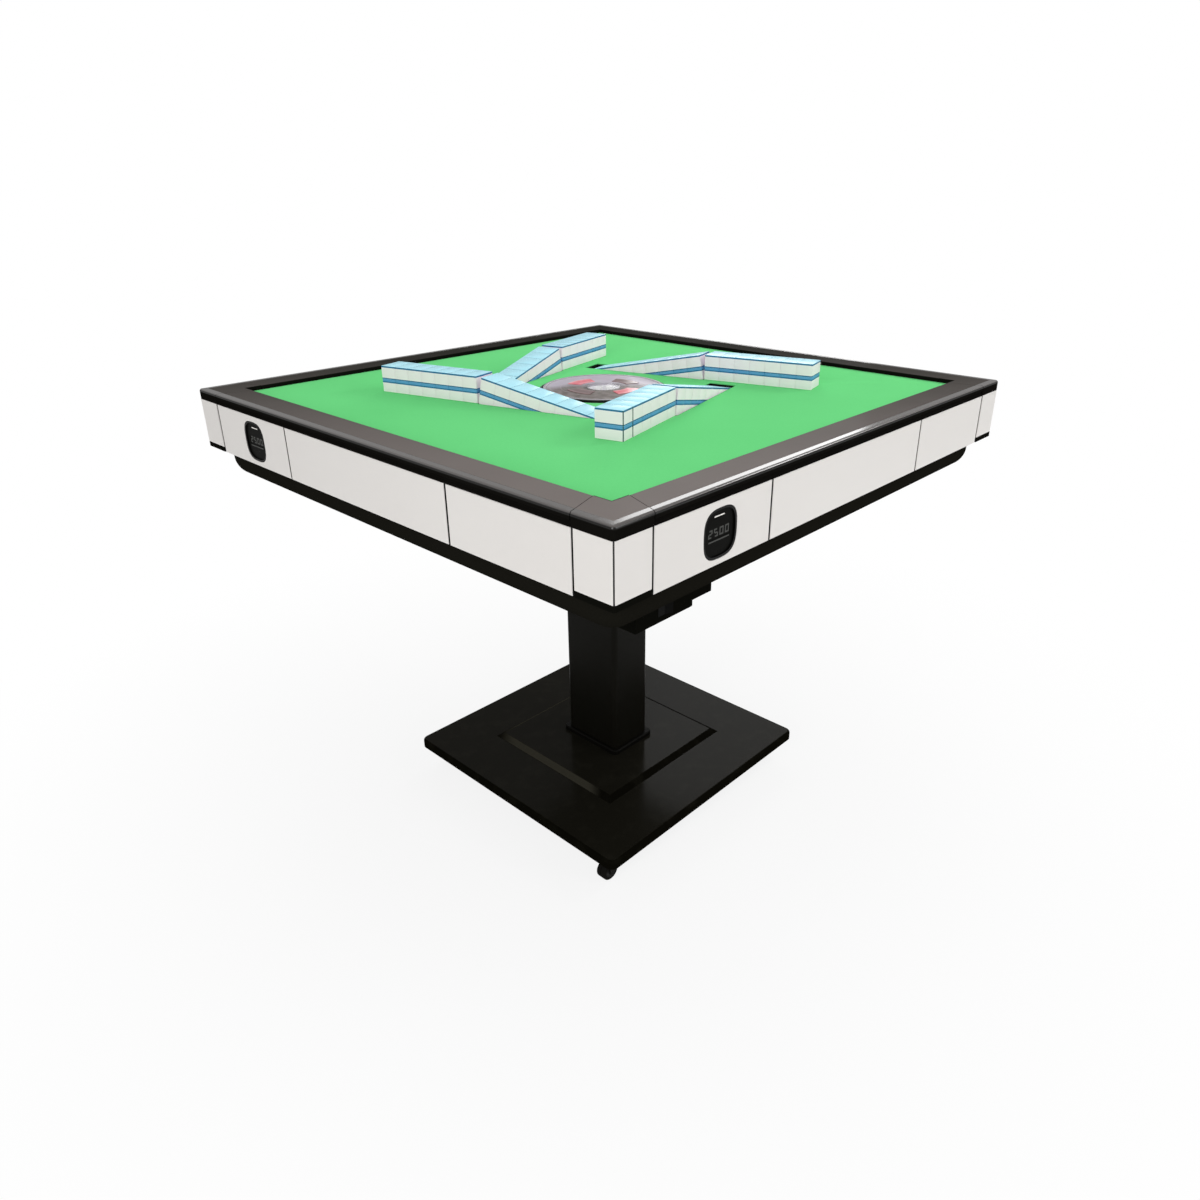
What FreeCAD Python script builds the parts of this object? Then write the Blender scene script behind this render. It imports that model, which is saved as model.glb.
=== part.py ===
import FreeCAD, Part
import math
import os

# Automatic mahjong table on a central column, with a drawer in each side.
# Millimetres. Origin: centre of the table on the floor. +Z up, the front side faces -Y.
# A piece that each side has is modelled for the front and turned a quarter turn at a time.

V = FreeCAD.Vector
SIDES = ["front", "right", "back", "left"]

# ---------------------------------------------------------------- driving sizes
TABLE_SIDE = 970.0        # outside of the square top
TABLE_HEIGHT = 775.0      # floor to the top of the rim
PART_GAP = 0.2            # between fixed neighbours that only nearly touch
RUN_FIT = 0.06            # radial clearance of a shaft that turns or slides
SEAM = 4.0                # dark joint between two panels of a side
TOUCH = 0.01              # places nearer than this are the same

# rim
RIM_WIDTH = 56.0
RIM_DROP = 17.0           # height of the rim's outer face
RIM_LIP = 4.0             # radius of the rounded outer edge
RIM_INNER_ROUND = 2.0
RIM_CORNER_ROUND = 5.0
RIM_SEAM_OUT = 64.0       # seam of the corner piece, from the corner, at the outer edge
RIM_SEAM_IN = 84.0        # the same at the inner edge
RIM_SEAM_GAP = 1.2
RIM_STEP = 28.0           # width of the rim that hangs beside the deck
GROOVE_FROM_EDGE = 12.0   # fine line along the top of the rim
GROOVE_SIZE = 1.0
FASCIA_GROOVE = (1.5, 8.0)    # channel in the outer face, from its lower edge
FASCIA_GROOVE_DEPTH = 2.5

# playing surface
CLOTH_DROP = 7.0          # cloth below the rim
CLOTH_THICK = 2.0
DECK_THICK = 10.0
DECK_CLEAR = 1.0          # between the deck's edge and the rim's step

# side panels
PANEL_THICK = 19.0
PANEL_HEIGHT = 81.5
PANEL_EDGE = 1.5          # rounded front edges
CAP_WIDTH = 62.0          # corner cap along each side, to the middle of its seam
SMALL_PANEL = 224.0       # pod panel and drawer front, seam middle to seam middle
CAP_SKIN = 3.0
CAP_FOOT = 8.5            # black strip of the post under the white cap
CAP_ROUND = 4.0
CAP_MITRE = (2.0, 1.5)     # width and depth of the joint line down the cap's corner

# chassis
TRAY_WALL = 3.0
TRAY_DEPTH = 150.0        # from the top of the rim to the tray's underside
TRAY_CORNER = 36.0
TRAY_BELLY = 35.0         # radius between the tray's sides and its underside
FRAME_HEIGHT = 12.0
FRAME_WIDTH = 40.0

# drawers
DRAWER_TRAVEL = 150.0
DRAWER_HELD = 40.0        # length of the box still in its runners when it is open
DRAWER_OVERLAP = 15.5     # front past the box, each side
DRAWER_BOX_HEIGHT = 56.0
DRAWER_WALL = 2.5
DRAWER_BRIDGE = 3.0       # tray wall left above the drawer's opening
TONGUE_WIDTH = 5.5        # rail on each side of the box
TONGUE_HEIGHT = 8.0
RUNNER_WEB = 2.0
RUNNER_LIP = 5.0
RUNNER_CLEAR = 0.4
DRAWER_CLEAR = 0.5        # drawer front to the rim above
APERTURE_CLEAR = 3.0      # round the box in the tray's wall

# pods
POD_HALF = 32.0
POD_POWER = 3.0           # exponent of the pod's rounded-square outline
POD_SHIFT = 8.0           # centre of the pod from its panel's middle, towards the side's middle
POD_BELOW = 58.5          # centre of the pod below the rim's top
POD_RECESS = 0.5
POD_FLANGE = 10.0
POD_BEZEL = 3.0
POD_FACE_THICK = 2.0
POD_FACE_DROP = 2.0
POD_BODY_INSET = 9.0      # box behind the bezel, inside its outline
POD_BODY_DEPTH = 40.0
POD_BODY_WALL = 2.0
POD_CLEAR = 0.3
LIGHT_SLOT = (20.0, 2.0)
LIGHT_SLOT_INSET = 8.0   # light slot below the face's top
DISPLAY_SIZE = (42.0, 14.0)
DISPLAY_SINK = 0.6

# column and base
BASE_SIDE = 538.0
BASE_THICK = 18.0
BASE_CORNER = 14.0
BASE_EDGE = 5.0
PLINTH_SIDE = 320.0
PLINTH_RISE = 8.0
PLINTH_BEVEL = 13.0
COLUMN_X = 92.0
COLUMN_Y = 130.0
COLUMN_WALL = 4.0
COLUMN_ROUND = 9.0
FOOT_PLATE = 10.0
HEAD_EDGE = 20.0          # head plate past its bolts
HEAD_THICK = 6.0
HEAD_HOLE_CLEAR = 4.0     # hole in the head plate round the lift's sleeve
COLLAR_WIDTH = 8.0
COLLAR_HEIGHT = 9.0
BOLT_R = 5.0
BOLT_HEAD_R = 8.5
BOLT_HEAD = 6.0
NUT_HEIGHT = 8.0
FOOT_BOLT_INSET = 21.0    # bolts in the column's foot, from its inner walls
HEAD_BOLT_OUT = 10.5      # bolt heads under the head plate, from the column's wall
BOLT_CLEAR = 0.25

# casters
CASTER_INSET = 33.0       # swivel axis from the base's edges
WHEEL_R = 17.0
WHEEL_WIDTH = 20.0
WHEEL_ROUND = 3.0
CASTER_TRAIL = 11.0
CASTER_TURN = {"front": 180.0, "right": 90.0, "back": 180.0, "left": 0.0}   # how each has come to rest
AXLE_R = 3.0
FORK_CHEEK = 3.0
FORK_CLEAR = 1.0
FORK_CROWN = 3.5
FORK_R = 17.0
WHEEL_CLEAR = 1.4         # between the wheel and the stem's head
CASTER_PLATE = 46.0
CASTER_PLATE_THICK = 2.5
STEM_R = 5.0
STEM_HEAD_R = 7.0
STEM_HEAD = 2.0
SWIVEL_GAP = 0.3

# tile walls: each stands straight, turned 15 degrees from its side of the table
WALL_TURN = 15.0
TILE_LENGTH = 45.0
TILE_WIDTH = 28.0
TILE_THICK = 21.5
TILE_GAP = 0.15
WALL_FACE = 191.0         # outer face of a wall from the table's centre
RAMP_REACH = 111.0        # free end of a ramp past the wall's middle, with no shift
WALL_SHIFT = {"front": 9.0, "right": 4.0, "back": 24.0, "left": 3.0}   # each wall along itself
LEVEL_STACKS = {"front": 6, "right": 7, "back": 6, "left": 7}
RAMP_STACKS = 8
RAMP_DROP = 11.3          # degrees that a ramp rests below the cloth
RAMP_SPARE = 14.5         # ramp past its last tile
RAMP_SIDE = 1.0           # ramp wider than the tiles, each side
RAMP_THICK = 5.0
RAMP_START = 0.5          # ramp's end from the hinge line
HINGE_BARREL = 4.0
HINGE_COVER = 1.0         # between the hinge's barrel and the cloth over it
HINGE_PIN_R = 2.0
HINGE_PIN_OUT = 6.0
SLOT_CLEAR = 1.0
SLOT_END = 7.0

# centre console
CONSOLE_R = 104.0
CONSOLE_RISE = 3.0        # console above the cloth
CONSOLE_WALL = 3.0
CONSOLE_DEPTH = 31.0
CONSOLE_LIFT = 80.0
CONSOLE_FLOOR = 4.0
COVER_THICK = 4.0
COVER_FIT = 0.4
RING_WIDTH = 6.0
RING_OVERHANG = 1.0       # ring past the housing
RING_ROUND = 1.2
LEDGE_WIDTH = 5.0
LEDGE_THICK = 4.0
WELL_CLEAR = 3.5
WELL_WALL = 3.0
WELL_DEPTH = 16.0
DOME_OVER = 1.2           # dome past the hole in the cover
DOME_RISE = 5.0
DOME_SHELL = 1.5
DOME_FLANGE = 4.0
DOME_FLANGE_THICK = 1.2
DICE_PLATE_R = 28.0
DICE_PLATE_THICK = 2.0
DICE_WELL_WALL = 1.5
DICE_WELL_CLEAR = 0.8
DICE_SHAFT_R = 4.0
DICE_BOSS_R = 10.0
DICE_BOSS = 15.5
DICE_SIZE = 10.0
DICE_PLACES = [(-8.0, 4.0, 20.0), (7.0, -6.0, 62.0)]
KEY_FROM_DOME = 8.0
KEY_WIDTH = 24.0
KEY_HALF_ANGLE = 24.0
KEY_PROUD = 0.8
KEY_CLEAR = 0.5
KEY_LIP = 1.5
KEY_LIP_THICK = 1.5
KEY_LIP_GAP = 0.2
KEY_STEM_R = 4.0
KEY_STEM_HELD = 5.0       # stem inside its guide
KEY_GUIDE_WALL = 2.5
KEY_GUIDE_CLEAR = 0.3
KEY_GUIDE = 10.0
LIFT_TUBE_R = 20.0
LIFT_TUBE_WALL = 4.0
LIFT_TUBE_HELD = 118.0    # length of the tube in its sleeve when the console is up
LIFT_FLANGE_WIDTH = 14.0
LIFT_FLANGE = 4.0

# lift drive and shuffling drum, inside the tray
SLEEVE_WALL = 8.0
SLEEVE_CLEAR = 0.3
SLEEVE_UP = 72.0          # sleeve above the tray's floor
SLEEVE_DOWN = 65.0        # sleeve below the tray's floor, inside the column
DRIVE_FLANGE_WIDTH = 26.0
DRIVE_FLANGE = 4.0
DRUM_SEAT_WIDTH = 4.0
DRUM_SEAT_UP = 21.7
JOURNAL_WALL = 12.0
DRUM_JOURNAL = 7.0
DRUM_GAP = 0.3
DRUM_R = 250.0
DRUM_THICK = 6.0
DRUM_WALL = 4.0
DRUM_WALL_HEIGHT = 34.0
STATOR_FIT = 2.0          # ring motor round the drum's seat
STATOR_BOLT_CLEAR = 9.6   # ring motor inside the nuts on the tray's floor
STATOR_GAP = 0.5
LIFT_MOTOR_WIDTH = 36.0
LIFT_MOTOR_HEIGHT = 50.0
LIFT_MOTOR_CLEAR = 3.0    # between the lift motor and the column's wall

# power box under the tray, near the front left corner
POWER_FROM_LEFT = 100.0   # from the table's left and front faces
POWER_FROM_FRONT = 60.0
POWER_LENGTH = 109.0      # the deep part with the switch
POWER_TAIL = 39.0         # the shallow part with the inlet
POWER_WIDTH = 95.0
POWER_DEEP = 35.0
INLET_WALL = 3.5          # case above and below the inlet
POWER_EDGE = 3.0
INLET_SIZE = (27.0, 18.0, 16.0)
INLET_PIN = (2.0, 6.0, 10.0)
SWITCH_ALONG = 55.0       # switch from the case's left end
SWITCH_SIZE = (24.0, 16.0)
SWITCH_DEPTH = 10.0
SWITCH_PIN_R = 1.5
SWITCH_CLEAR = 0.4
SWITCH_SWING = 1.6        # room beside the rocker's ends as it tips
SWITCH_TILT = 10.0

# ---------------------------------------------------------------- derived levels
HALF = TABLE_SIDE / 2
RIM_UNDER = TABLE_HEIGHT - RIM_DROP
CLOTH_TOP = TABLE_HEIGHT - CLOTH_DROP
DECK_TOP = CLOTH_TOP - CLOTH_THICK
DECK_UNDER = DECK_TOP - DECK_THICK
FRAME_UNDER = DECK_UNDER - FRAME_HEIGHT
PANEL_UNDER = RIM_UNDER - PANEL_HEIGHT
PANEL_TOP = RIM_UNDER - PART_GAP
TRAY_HALF = HALF - PANEL_THICK
TRAY_UNDER = TABLE_HEIGHT - TRAY_DEPTH
TRAY_FLOOR = TRAY_UNDER + TRAY_WALL
DECK_HALF = HALF - RIM_STEP - DECK_CLEAR
DECK_CORNER = TRAY_CORNER - (TRAY_HALF - DECK_HALF)
CAP_END = HALF - CAP_WIDTH + SEAM / 2
POD_PANEL_ENDS = (-HALF + CAP_WIDTH + SEAM / 2, -HALF + CAP_WIDTH + SMALL_PANEL - SEAM / 2)
MIDDLE_HALF = HALF - CAP_WIDTH - SMALL_PANEL - SEAM / 2
DRAWER_ENDS = (-POD_PANEL_ENDS[1], -POD_PANEL_ENDS[0])
DRAWER_MID = (DRAWER_ENDS[0] + DRAWER_ENDS[1]) / 2
DRAWER_BOX_WIDTH = SMALL_PANEL - SEAM - 2 * DRAWER_OVERLAP
DRAWER_BOX_DEPTH = DRAWER_TRAVEL + DRAWER_HELD
DRAWER_TOP = FRAME_UNDER - DRAWER_BRIDGE - APERTURE_CLEAR
DRAWER_UNDER = DRAWER_TOP - DRAWER_BOX_HEIGHT
POD_X = (POD_PANEL_ENDS[0] + POD_PANEL_ENDS[1]) / 2 + POD_SHIFT
POD_Z = TABLE_HEIGHT - POD_BELOW
POD_BODY_HALF = POD_HALF - POD_BODY_INSET
LIGHT_SLOT_Z = POD_Z + POD_HALF - POD_BEZEL - LIGHT_SLOT_INSET
CROWN_UNDER = 2 * WHEEL_R + WHEEL_CLEAR + STEM_HEAD + SWIVEL_GAP
BASE_UNDER = CROWN_UNDER + FORK_CROWN + SWIVEL_GAP + CASTER_PLATE_THICK
BASE_TOP = BASE_UNDER + BASE_THICK
CASTER_OFFSET = BASE_SIDE / 2 - CASTER_INSET
PLINTH_TOP = BASE_TOP + PLINTH_RISE
COLUMN_TOP = TRAY_UNDER - HEAD_THICK
FOOT_BOLTS = (COLUMN_X / 2 - COLUMN_WALL - FOOT_BOLT_INSET, COLUMN_Y / 2 - COLUMN_WALL - FOOT_BOLT_INSET)
HEAD_BOLT = max(COLUMN_X, COLUMN_Y) / 2 + HEAD_BOLT_OUT + BOLT_HEAD_R
CONSOLE_TOP = CLOTH_TOP + CONSOLE_RISE
COVER_UNDER = CONSOLE_TOP - COVER_THICK
CONSOLE_UNDER = CONSOLE_TOP - CONSOLE_DEPTH
CONSOLE_FLOOR_TOP = CONSOLE_UNDER + CONSOLE_FLOOR
HOUSING_R = CONSOLE_R - RING_OVERHANG
RING_IN = CONSOLE_R - RING_WIDTH
COVER_R = RING_IN - COVER_FIT
LEDGE_IN = RING_IN - LEDGE_WIDTH
DOME_R = DICE_PLATE_R + DICE_WELL_CLEAR + DOME_OVER
KEY_IN = DOME_R + DOME_FLANGE + KEY_FROM_DOME
KEY_OUT = KEY_IN + KEY_WIDTH
WELL_IN = CONSOLE_R + WELL_CLEAR
WELL_OUT = WELL_IN + WELL_WALL
RAMP_LENGTH = RAMP_START + RAMP_STACKS * TILE_WIDTH + RAMP_SPARE
BEND_BACK = RAMP_LENGTH - RAMP_REACH
HINGE_Z = DECK_TOP - HINGE_COVER - HINGE_BARREL
WALL_MID = -(WALL_FACE - TILE_LENGTH / 2)
RAMP_WIDTH = TILE_LENGTH + 2 * RAMP_SIDE
SLOT_WIDTH = RAMP_WIDTH + 2 * SLOT_CLEAR
DRUM_UNDER = TRAY_FLOOR + DRUM_SEAT_UP + DRUM_GAP
SLEEVE_R = LIFT_TUBE_R + SLEEVE_WALL
SLEEVE_TOP = TRAY_FLOOR + SLEEVE_UP
SLEEVE_LOW = TRAY_FLOOR - SLEEVE_DOWN
LIFT_TUBE_LOW = SLEEVE_TOP - LIFT_TUBE_HELD - CONSOLE_LIFT
DRUM_JOURNAL_R = SLEEVE_R + JOURNAL_WALL
DRUM_SEAT_R = DRUM_JOURNAL_R + DRUM_SEAT_WIDTH
STATOR_IN = DRUM_SEAT_R + STATOR_FIT
STATOR_OUT = math.hypot(HEAD_BOLT, HEAD_BOLT) - BOLT_HEAD_R - STATOR_BOLT_CLEAR
POWER_START = -HALF + POWER_FROM_LEFT
POWER_STEP = POWER_START + POWER_LENGTH
POWER_END = POWER_STEP + POWER_TAIL
POWER_Y = (-HALF + POWER_FROM_FRONT, -HALF + POWER_FROM_FRONT + POWER_WIDTH)
POWER_SHALLOW = INLET_SIZE[1] + 2 * INLET_WALL
SWITCH_X = POWER_START + SWITCH_ALONG
SWITCH_Z = TRAY_UNDER - POWER_DEEP / 2
SWITCH_PIVOT_Y = POWER_Y[0] + SWITCH_DEPTH / 2


# ---------------------------------------------------------------- shape helpers
def box(x, y, z):
    """A box between the ends given for each axis."""
    return Part.makeBox(x[1] - x[0], y[1] - y[0], z[1] - z[0], V(x[0], y[0], z[0]))


def cyl(radius, z, at=(0.0, 0.0)):
    """An upright cylinder between two heights."""
    return Part.makeCylinder(radius, z[1] - z[0], V(at[0], at[1], z[0]))


def tube(outer, inner, z, at=(0.0, 0.0)):
    """An upright tube between two heights."""
    return cyl(outer, z, at).cut(cyl(inner, z, at))


def turned(shape, degrees, centre=V(0, 0, 0), axis=V(0, 0, 1)):
    """A turned copy of a shape."""
    copy = shape.copy()
    copy.rotate(centre, axis, degrees)
    return copy


def on_side(shape, side):
    """Carry a shape modelled for the front to one of the four sides."""
    return turned(shape, 90.0 * SIDES.index(side))


def on_all_sides(shape):
    """The four copies of a shape, one on each side, as separate solids."""
    return Part.makeCompound([on_side(shape, side) for side in SIDES])


def prism(points, z):
    """A prism on a polygon in plan."""
    wire = Part.makePolygon([V(x, y, z[0]) for x, y in points + points[:1]])
    return Part.Face(wire).extrude(V(0, 0, z[1] - z[0]))


def block(half_x, half_y, radius, z, at=(0.0, 0.0)):
    """An upright block with rounded vertical edges."""
    solid = box((at[0] - half_x, at[0] + half_x), (at[1] - half_y, at[1] + half_y), z)
    return solid.makeFillet(radius, [e for e in solid.Edges if is_upright(e)])


def is_upright(edge):
    """True for an edge that runs straight up."""
    ends = edge.BoundBox
    return ends.ZLength > TOUCH and ends.XLength < TOUCH and ends.YLength < TOUCH


def edges_at(shape, z):
    """All edges that lie level at one height."""
    level = [e for e in shape.Edges if e.BoundBox.ZLength < TOUCH]
    return [e for e in level if abs(e.BoundBox.ZMin - z) < TOUCH]


def revolved(points):
    """A solid turned from a profile of (radius, height) points."""
    wire = Part.makePolygon([V(r, 0, z) for r, z in points + points[:1]])
    return Part.Face(wire).revolve(V(0, 0, 0), V(0, 0, 1), 360)


def squircle(half, centre, y):
    """A closed rounded-square outline in the plane at y: |x|^n + |z|^n = half^n."""
    count = 48
    points = []
    for i in range(count):
        a = 2 * math.pi * i / count
        c, s = math.cos(a), math.sin(a)
        size = half / (abs(c) ** POD_POWER + abs(s) ** POD_POWER) ** (1 / POD_POWER)
        points.append(V(centre[0] + size * c, y, centre[1] + size * s))
    curve = Part.BSplineCurve()
    curve.interpolate(Points=points, PeriodicFlag=True)
    return Part.Wire(curve.toShape())


def squircle_block(half, centre, y):
    """A rounded-square block between two planes in y."""
    return Part.Face(squircle(half, centre, y[0])).extrude(V(0, y[1] - y[0], 0))


def on_wall(shape, side):
    """Carry a shape from a wall's own frame, where x runs along the wall, to its side of the table."""
    copy = shape.copy()
    copy.translate(V(WALL_SHIFT[side], 0, 0))
    return on_side(turned(copy, WALL_TURN), side)


def lowered(shape):
    """Tilt a shape from the closed ramp position to the ramp's rest."""
    return turned(shape, RAMP_DROP, V(-BEND_BACK, 0, HINGE_Z), V(0, 1, 0))


# ---------------------------------------------------------------- base and column
def base_plate():
    """Weighted floor plate with a raised square in its middle."""
    plate = block(BASE_SIDE / 2, BASE_SIDE / 2, BASE_CORNER, (BASE_UNDER, BASE_TOP))
    plate = plate.makeFillet(BASE_EDGE, edges_at(plate, BASE_TOP))
    low, high = PLINTH_SIDE / 2, PLINTH_SIDE / 2 - PLINTH_BEVEL
    rings = []
    for half, z in ((low, BASE_TOP - BASE_EDGE), (low, BASE_TOP), (high, PLINTH_TOP)):
        corners = [V(-half, -half, z), V(half, -half, z), V(half, half, z), V(-half, half, z)]
        rings.append(Part.makePolygon(corners + corners[:1]))
    plate = plate.fuse(Part.makeLoft(rings, True, True)).removeSplitter()
    for x, y in bolt_places(*FOOT_BOLTS):
        plate = plate.cut(cyl(BOLT_R + BOLT_CLEAR, (BASE_UNDER, PLINTH_TOP), (x, y)))
        sink = (BASE_UNDER, BASE_UNDER + BOLT_HEAD + PART_GAP)
        plate = plate.cut(cyl(BOLT_HEAD_R + BOLT_CLEAR, sink, (x, y)))
    return plate


def bolt_places(half_x, half_y):
    """The four corners of a bolt rectangle."""
    return [(sx * half_x, sy * half_y) for sx in (-1, 1) for sy in (-1, 1)]


def column():
    """Box column of welded plates, rounded outside, with its foot plate inside and its head plate on top."""
    z = (PLINTH_TOP, COLUMN_TOP)
    post = block(COLUMN_X / 2, COLUMN_Y / 2, COLUMN_ROUND, z)
    half_x, half_y = COLUMN_X / 2 - COLUMN_WALL, COLUMN_Y / 2 - COLUMN_WALL
    hollow = box((-half_x, half_x), (-half_y, half_y), (PLINTH_TOP + FOOT_PLATE, COLUMN_TOP))
    edge = HEAD_BOLT + HEAD_EDGE
    head = block(edge, edge, COLUMN_ROUND, (COLUMN_TOP, TRAY_UNDER))
    head = head.cut(cyl(SLEEVE_R + HEAD_HOLE_CLEAR, (COLUMN_TOP, TRAY_UNDER)))
    for x, y in bolt_places(HEAD_BOLT, HEAD_BOLT):
        head = head.cut(cyl(BOLT_R + BOLT_CLEAR, (COLUMN_TOP, TRAY_UNDER), (x, y)))
    post = post.cut(hollow)
    for x, y in bolt_places(*FOOT_BOLTS):
        post = post.cut(cyl(BOLT_R + BOLT_CLEAR, (PLINTH_TOP, PLINTH_TOP + FOOT_PLATE), (x, y)))
    return post.fuse(head).removeSplitter()


def column_collar():
    """Trim frame that covers the joint between the column and the base."""
    z = (PLINTH_TOP, PLINTH_TOP + COLLAR_HEIGHT)
    outer = block(COLUMN_X / 2 + COLLAR_WIDTH, COLUMN_Y / 2 + COLLAR_WIDTH, COLUMN_ROUND, z)
    outer = outer.makeChamfer(COLLAR_WIDTH / 4, edges_at(outer, z[1]))
    return outer.cut(block(COLUMN_X / 2 + PART_GAP, COLUMN_Y / 2 + PART_GAP, COLUMN_ROUND, z))


def column_bolts():
    """Bolts up through the base into the column's foot, and through its head into the tray."""
    solids = []
    for x, y in bolt_places(*FOOT_BOLTS):
        shank = cyl(BOLT_R, (BASE_UNDER, PLINTH_TOP + FOOT_PLATE), (x, y))
        head = cyl(BOLT_HEAD_R, (BASE_UNDER, BASE_UNDER + BOLT_HEAD), (x, y))
        solids.append(shank.fuse(head).removeSplitter())
    for x, y in bolt_places(HEAD_BOLT, HEAD_BOLT):
        nut = cyl(BOLT_HEAD_R, (TRAY_FLOOR, TRAY_FLOOR + NUT_HEIGHT), (x, y))
        shank = cyl(BOLT_R, (COLUMN_TOP - BOLT_HEAD, TRAY_FLOOR + NUT_HEIGHT), (x, y))
        head = cyl(BOLT_HEAD_R, (COLUMN_TOP - BOLT_HEAD, COLUMN_TOP), (x, y))
        solids.append(shank.fuse([head, nut]).removeSplitter())
    return Part.makeCompound(solids)


# ---------------------------------------------------------------- casters
def caster_places():
    """Swivel axis of the caster near each corner, by the side that it starts."""
    near = CASTER_OFFSET
    return {"front": (-near, -near), "right": (near, -near), "back": (near, near), "left": (-near, near)}


def caster_plate():
    """Mounting plate with the headed stem that the fork swivels on."""
    z = (BASE_UNDER - CASTER_PLATE_THICK, BASE_UNDER)
    plate = block(CASTER_PLATE / 2, CASTER_PLATE / 2, STEM_R, z)
    low = CROWN_UNDER - SWIVEL_GAP
    stem = cyl(STEM_R, (low, z[0]))
    head = cyl(STEM_HEAD_R, (low - STEM_HEAD, low))
    return plate.fuse([stem, head]).removeSplitter()


def caster_fork():
    """Crown disc with two cheeks and the riveted axle between them."""
    low, top = CROWN_UNDER, CROWN_UNDER + FORK_CROWN
    inner = WHEEL_WIDTH / 2 + FORK_CLEAR
    eye_r = 2 * AXLE_R
    outline = [(-FORK_R / 2, top), (-FORK_R / 2, low), (CASTER_TRAIL - eye_r, WHEEL_R),
               (CASTER_TRAIL + eye_r, WHEEL_R), (CASTER_TRAIL + eye_r, top)]
    pieces = []
    for y in ((-inner - FORK_CHEEK, -inner), (inner, inner + FORK_CHEEK)):
        pieces.append(prism_xz(outline, y))
        pieces.append(Part.makeCylinder(eye_r, FORK_CHEEK, V(CASTER_TRAIL, y[0], WHEEL_R), V(0, 1, 0)))
    axle_at = V(CASTER_TRAIL, -inner - FORK_CHEEK, WHEEL_R)
    pieces.append(Part.makeCylinder(AXLE_R, 2 * (inner + FORK_CHEEK), axle_at, V(0, 1, 0)))
    fork = cyl(FORK_R, (low, top)).fuse(pieces)
    return fork.cut(cyl(STEM_R + RUN_FIT, (low, top))).removeSplitter()


def prism_xz(points, y):
    """A plate on a polygon of (x, z) points, between two planes in y."""
    wire = Part.makePolygon([V(x, y[0], z) for x, z in points + points[:1]])
    return Part.Face(wire).extrude(V(0, y[1] - y[0], 0))


def caster_wheel():
    """Moulded wheel with a rounded tread, on the fork's axle."""
    wheel = Part.makeCylinder(WHEEL_R, WHEEL_WIDTH, V(CASTER_TRAIL, -WHEEL_WIDTH / 2, WHEEL_R), V(0, 1, 0))
    rims = [e for e in wheel.Edges if e.BoundBox.YLength < TOUCH]
    wheel = wheel.makeFillet(WHEEL_ROUND, rims)
    bore = Part.makeCylinder(AXLE_R + RUN_FIT, WHEEL_WIDTH,
                             V(CASTER_TRAIL, -WHEEL_WIDTH / 2, WHEEL_R), V(0, 1, 0))
    return wheel.cut(bore)


def placed(shape, at):
    """A copy of a shape moved sideways to a place."""
    copy = shape.copy()
    copy.translate(V(at[0], at[1], 0))
    return copy


# ---------------------------------------------------------------- chassis and top
def chassis_tray():
    """Black pan that holds the machinery, with openings for the drawers and pods."""
    outer = tray_block(TRAY_HALF, TRAY_CORNER, TRAY_BELLY, TRAY_UNDER)
    inner = tray_block(TRAY_HALF - TRAY_WALL, TRAY_CORNER - TRAY_WALL, TRAY_BELLY - TRAY_WALL, TRAY_FLOOR)
    tray = outer.cut(inner)
    reach = DRAWER_BOX_WIDTH / 2 + TONGUE_WIDTH + RUNNER_WEB + RUNNER_CLEAR + PART_GAP
    opening = box((DRAWER_MID - reach, DRAWER_MID + reach), (-HALF, -TRAY_HALF + 2 * TRAY_WALL),
                  (DRAWER_UNDER - APERTURE_CLEAR, DRAWER_TOP + APERTURE_CLEAR))
    size = POD_BODY_HALF + POD_CLEAR
    pod_hole = box((POD_X - size, POD_X + size), (-HALF, -TRAY_HALF + 2 * TRAY_WALL),
                   (POD_Z - size, POD_Z + size))
    for side in SIDES:
        tray = tray.cut(on_side(opening, side))
        tray = tray.cut(on_side(pod_hole, side))
    tray = tray.cut(cyl(SLEEVE_R + SLEEVE_CLEAR, (TRAY_UNDER, TRAY_FLOOR)))
    for x, y in bolt_places(HEAD_BOLT, HEAD_BOLT):
        tray = tray.cut(cyl(BOLT_R + BOLT_CLEAR, (TRAY_UNDER, TRAY_FLOOR), (x, y)))
    return tray


def tray_block(half, corner, belly, under):
    """A block with rounded vertical edges and a rounded underside, up to the frame."""
    solid = block(half, half, corner, (under, FRAME_UNDER))
    return solid.makeFillet(belly, edges_at(solid, under))


def frame_rail():
    """Front rail of the frame on the tray's edge, mitred at both ends, that carries the deck."""
    z = (FRAME_UNDER, DECK_UNDER)
    outer = block(TRAY_HALF, TRAY_HALF, TRAY_CORNER, z)
    inner = TRAY_HALF - FRAME_WIDTH
    plan = [(-TRAY_HALF, -TRAY_HALF), (TRAY_HALF, -TRAY_HALF), (inner, -inner), (-inner, -inner)]
    return outer.common(prism(plan, z))


def ramp_slot(z, behind):
    """The opening over a ramp in its wall's frame, started a length behind the bend."""
    end = -BEND_BACK + RAMP_LENGTH + SLOT_END
    y = (WALL_MID - SLOT_WIDTH / 2, WALL_MID + SLOT_WIDTH / 2)
    return box((-BEND_BACK - behind, end), y, z)


def table_deck():
    """Board under the cloth, with the console well, the ramp slots and the hinge bores."""
    z = (DECK_UNDER, DECK_TOP)
    deck = block(DECK_HALF, DECK_HALF, DECK_CORNER, z)
    deck = deck.cut(cyl(WELL_OUT + PART_GAP, z))
    slot = ramp_slot(z, HINGE_BARREL + SLOT_CLEAR)
    reach = RAMP_WIDTH / 2 + HINGE_PIN_OUT + PART_GAP
    bore = Part.makeCylinder(HINGE_PIN_R + RUN_FIT, 2 * reach,
                             V(-BEND_BACK, WALL_MID - reach, HINGE_Z), V(0, 1, 0))
    for side in SIDES:
        deck = deck.cut(on_wall(slot, side))
        deck = deck.cut(on_wall(bore, side))
    return deck


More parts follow.
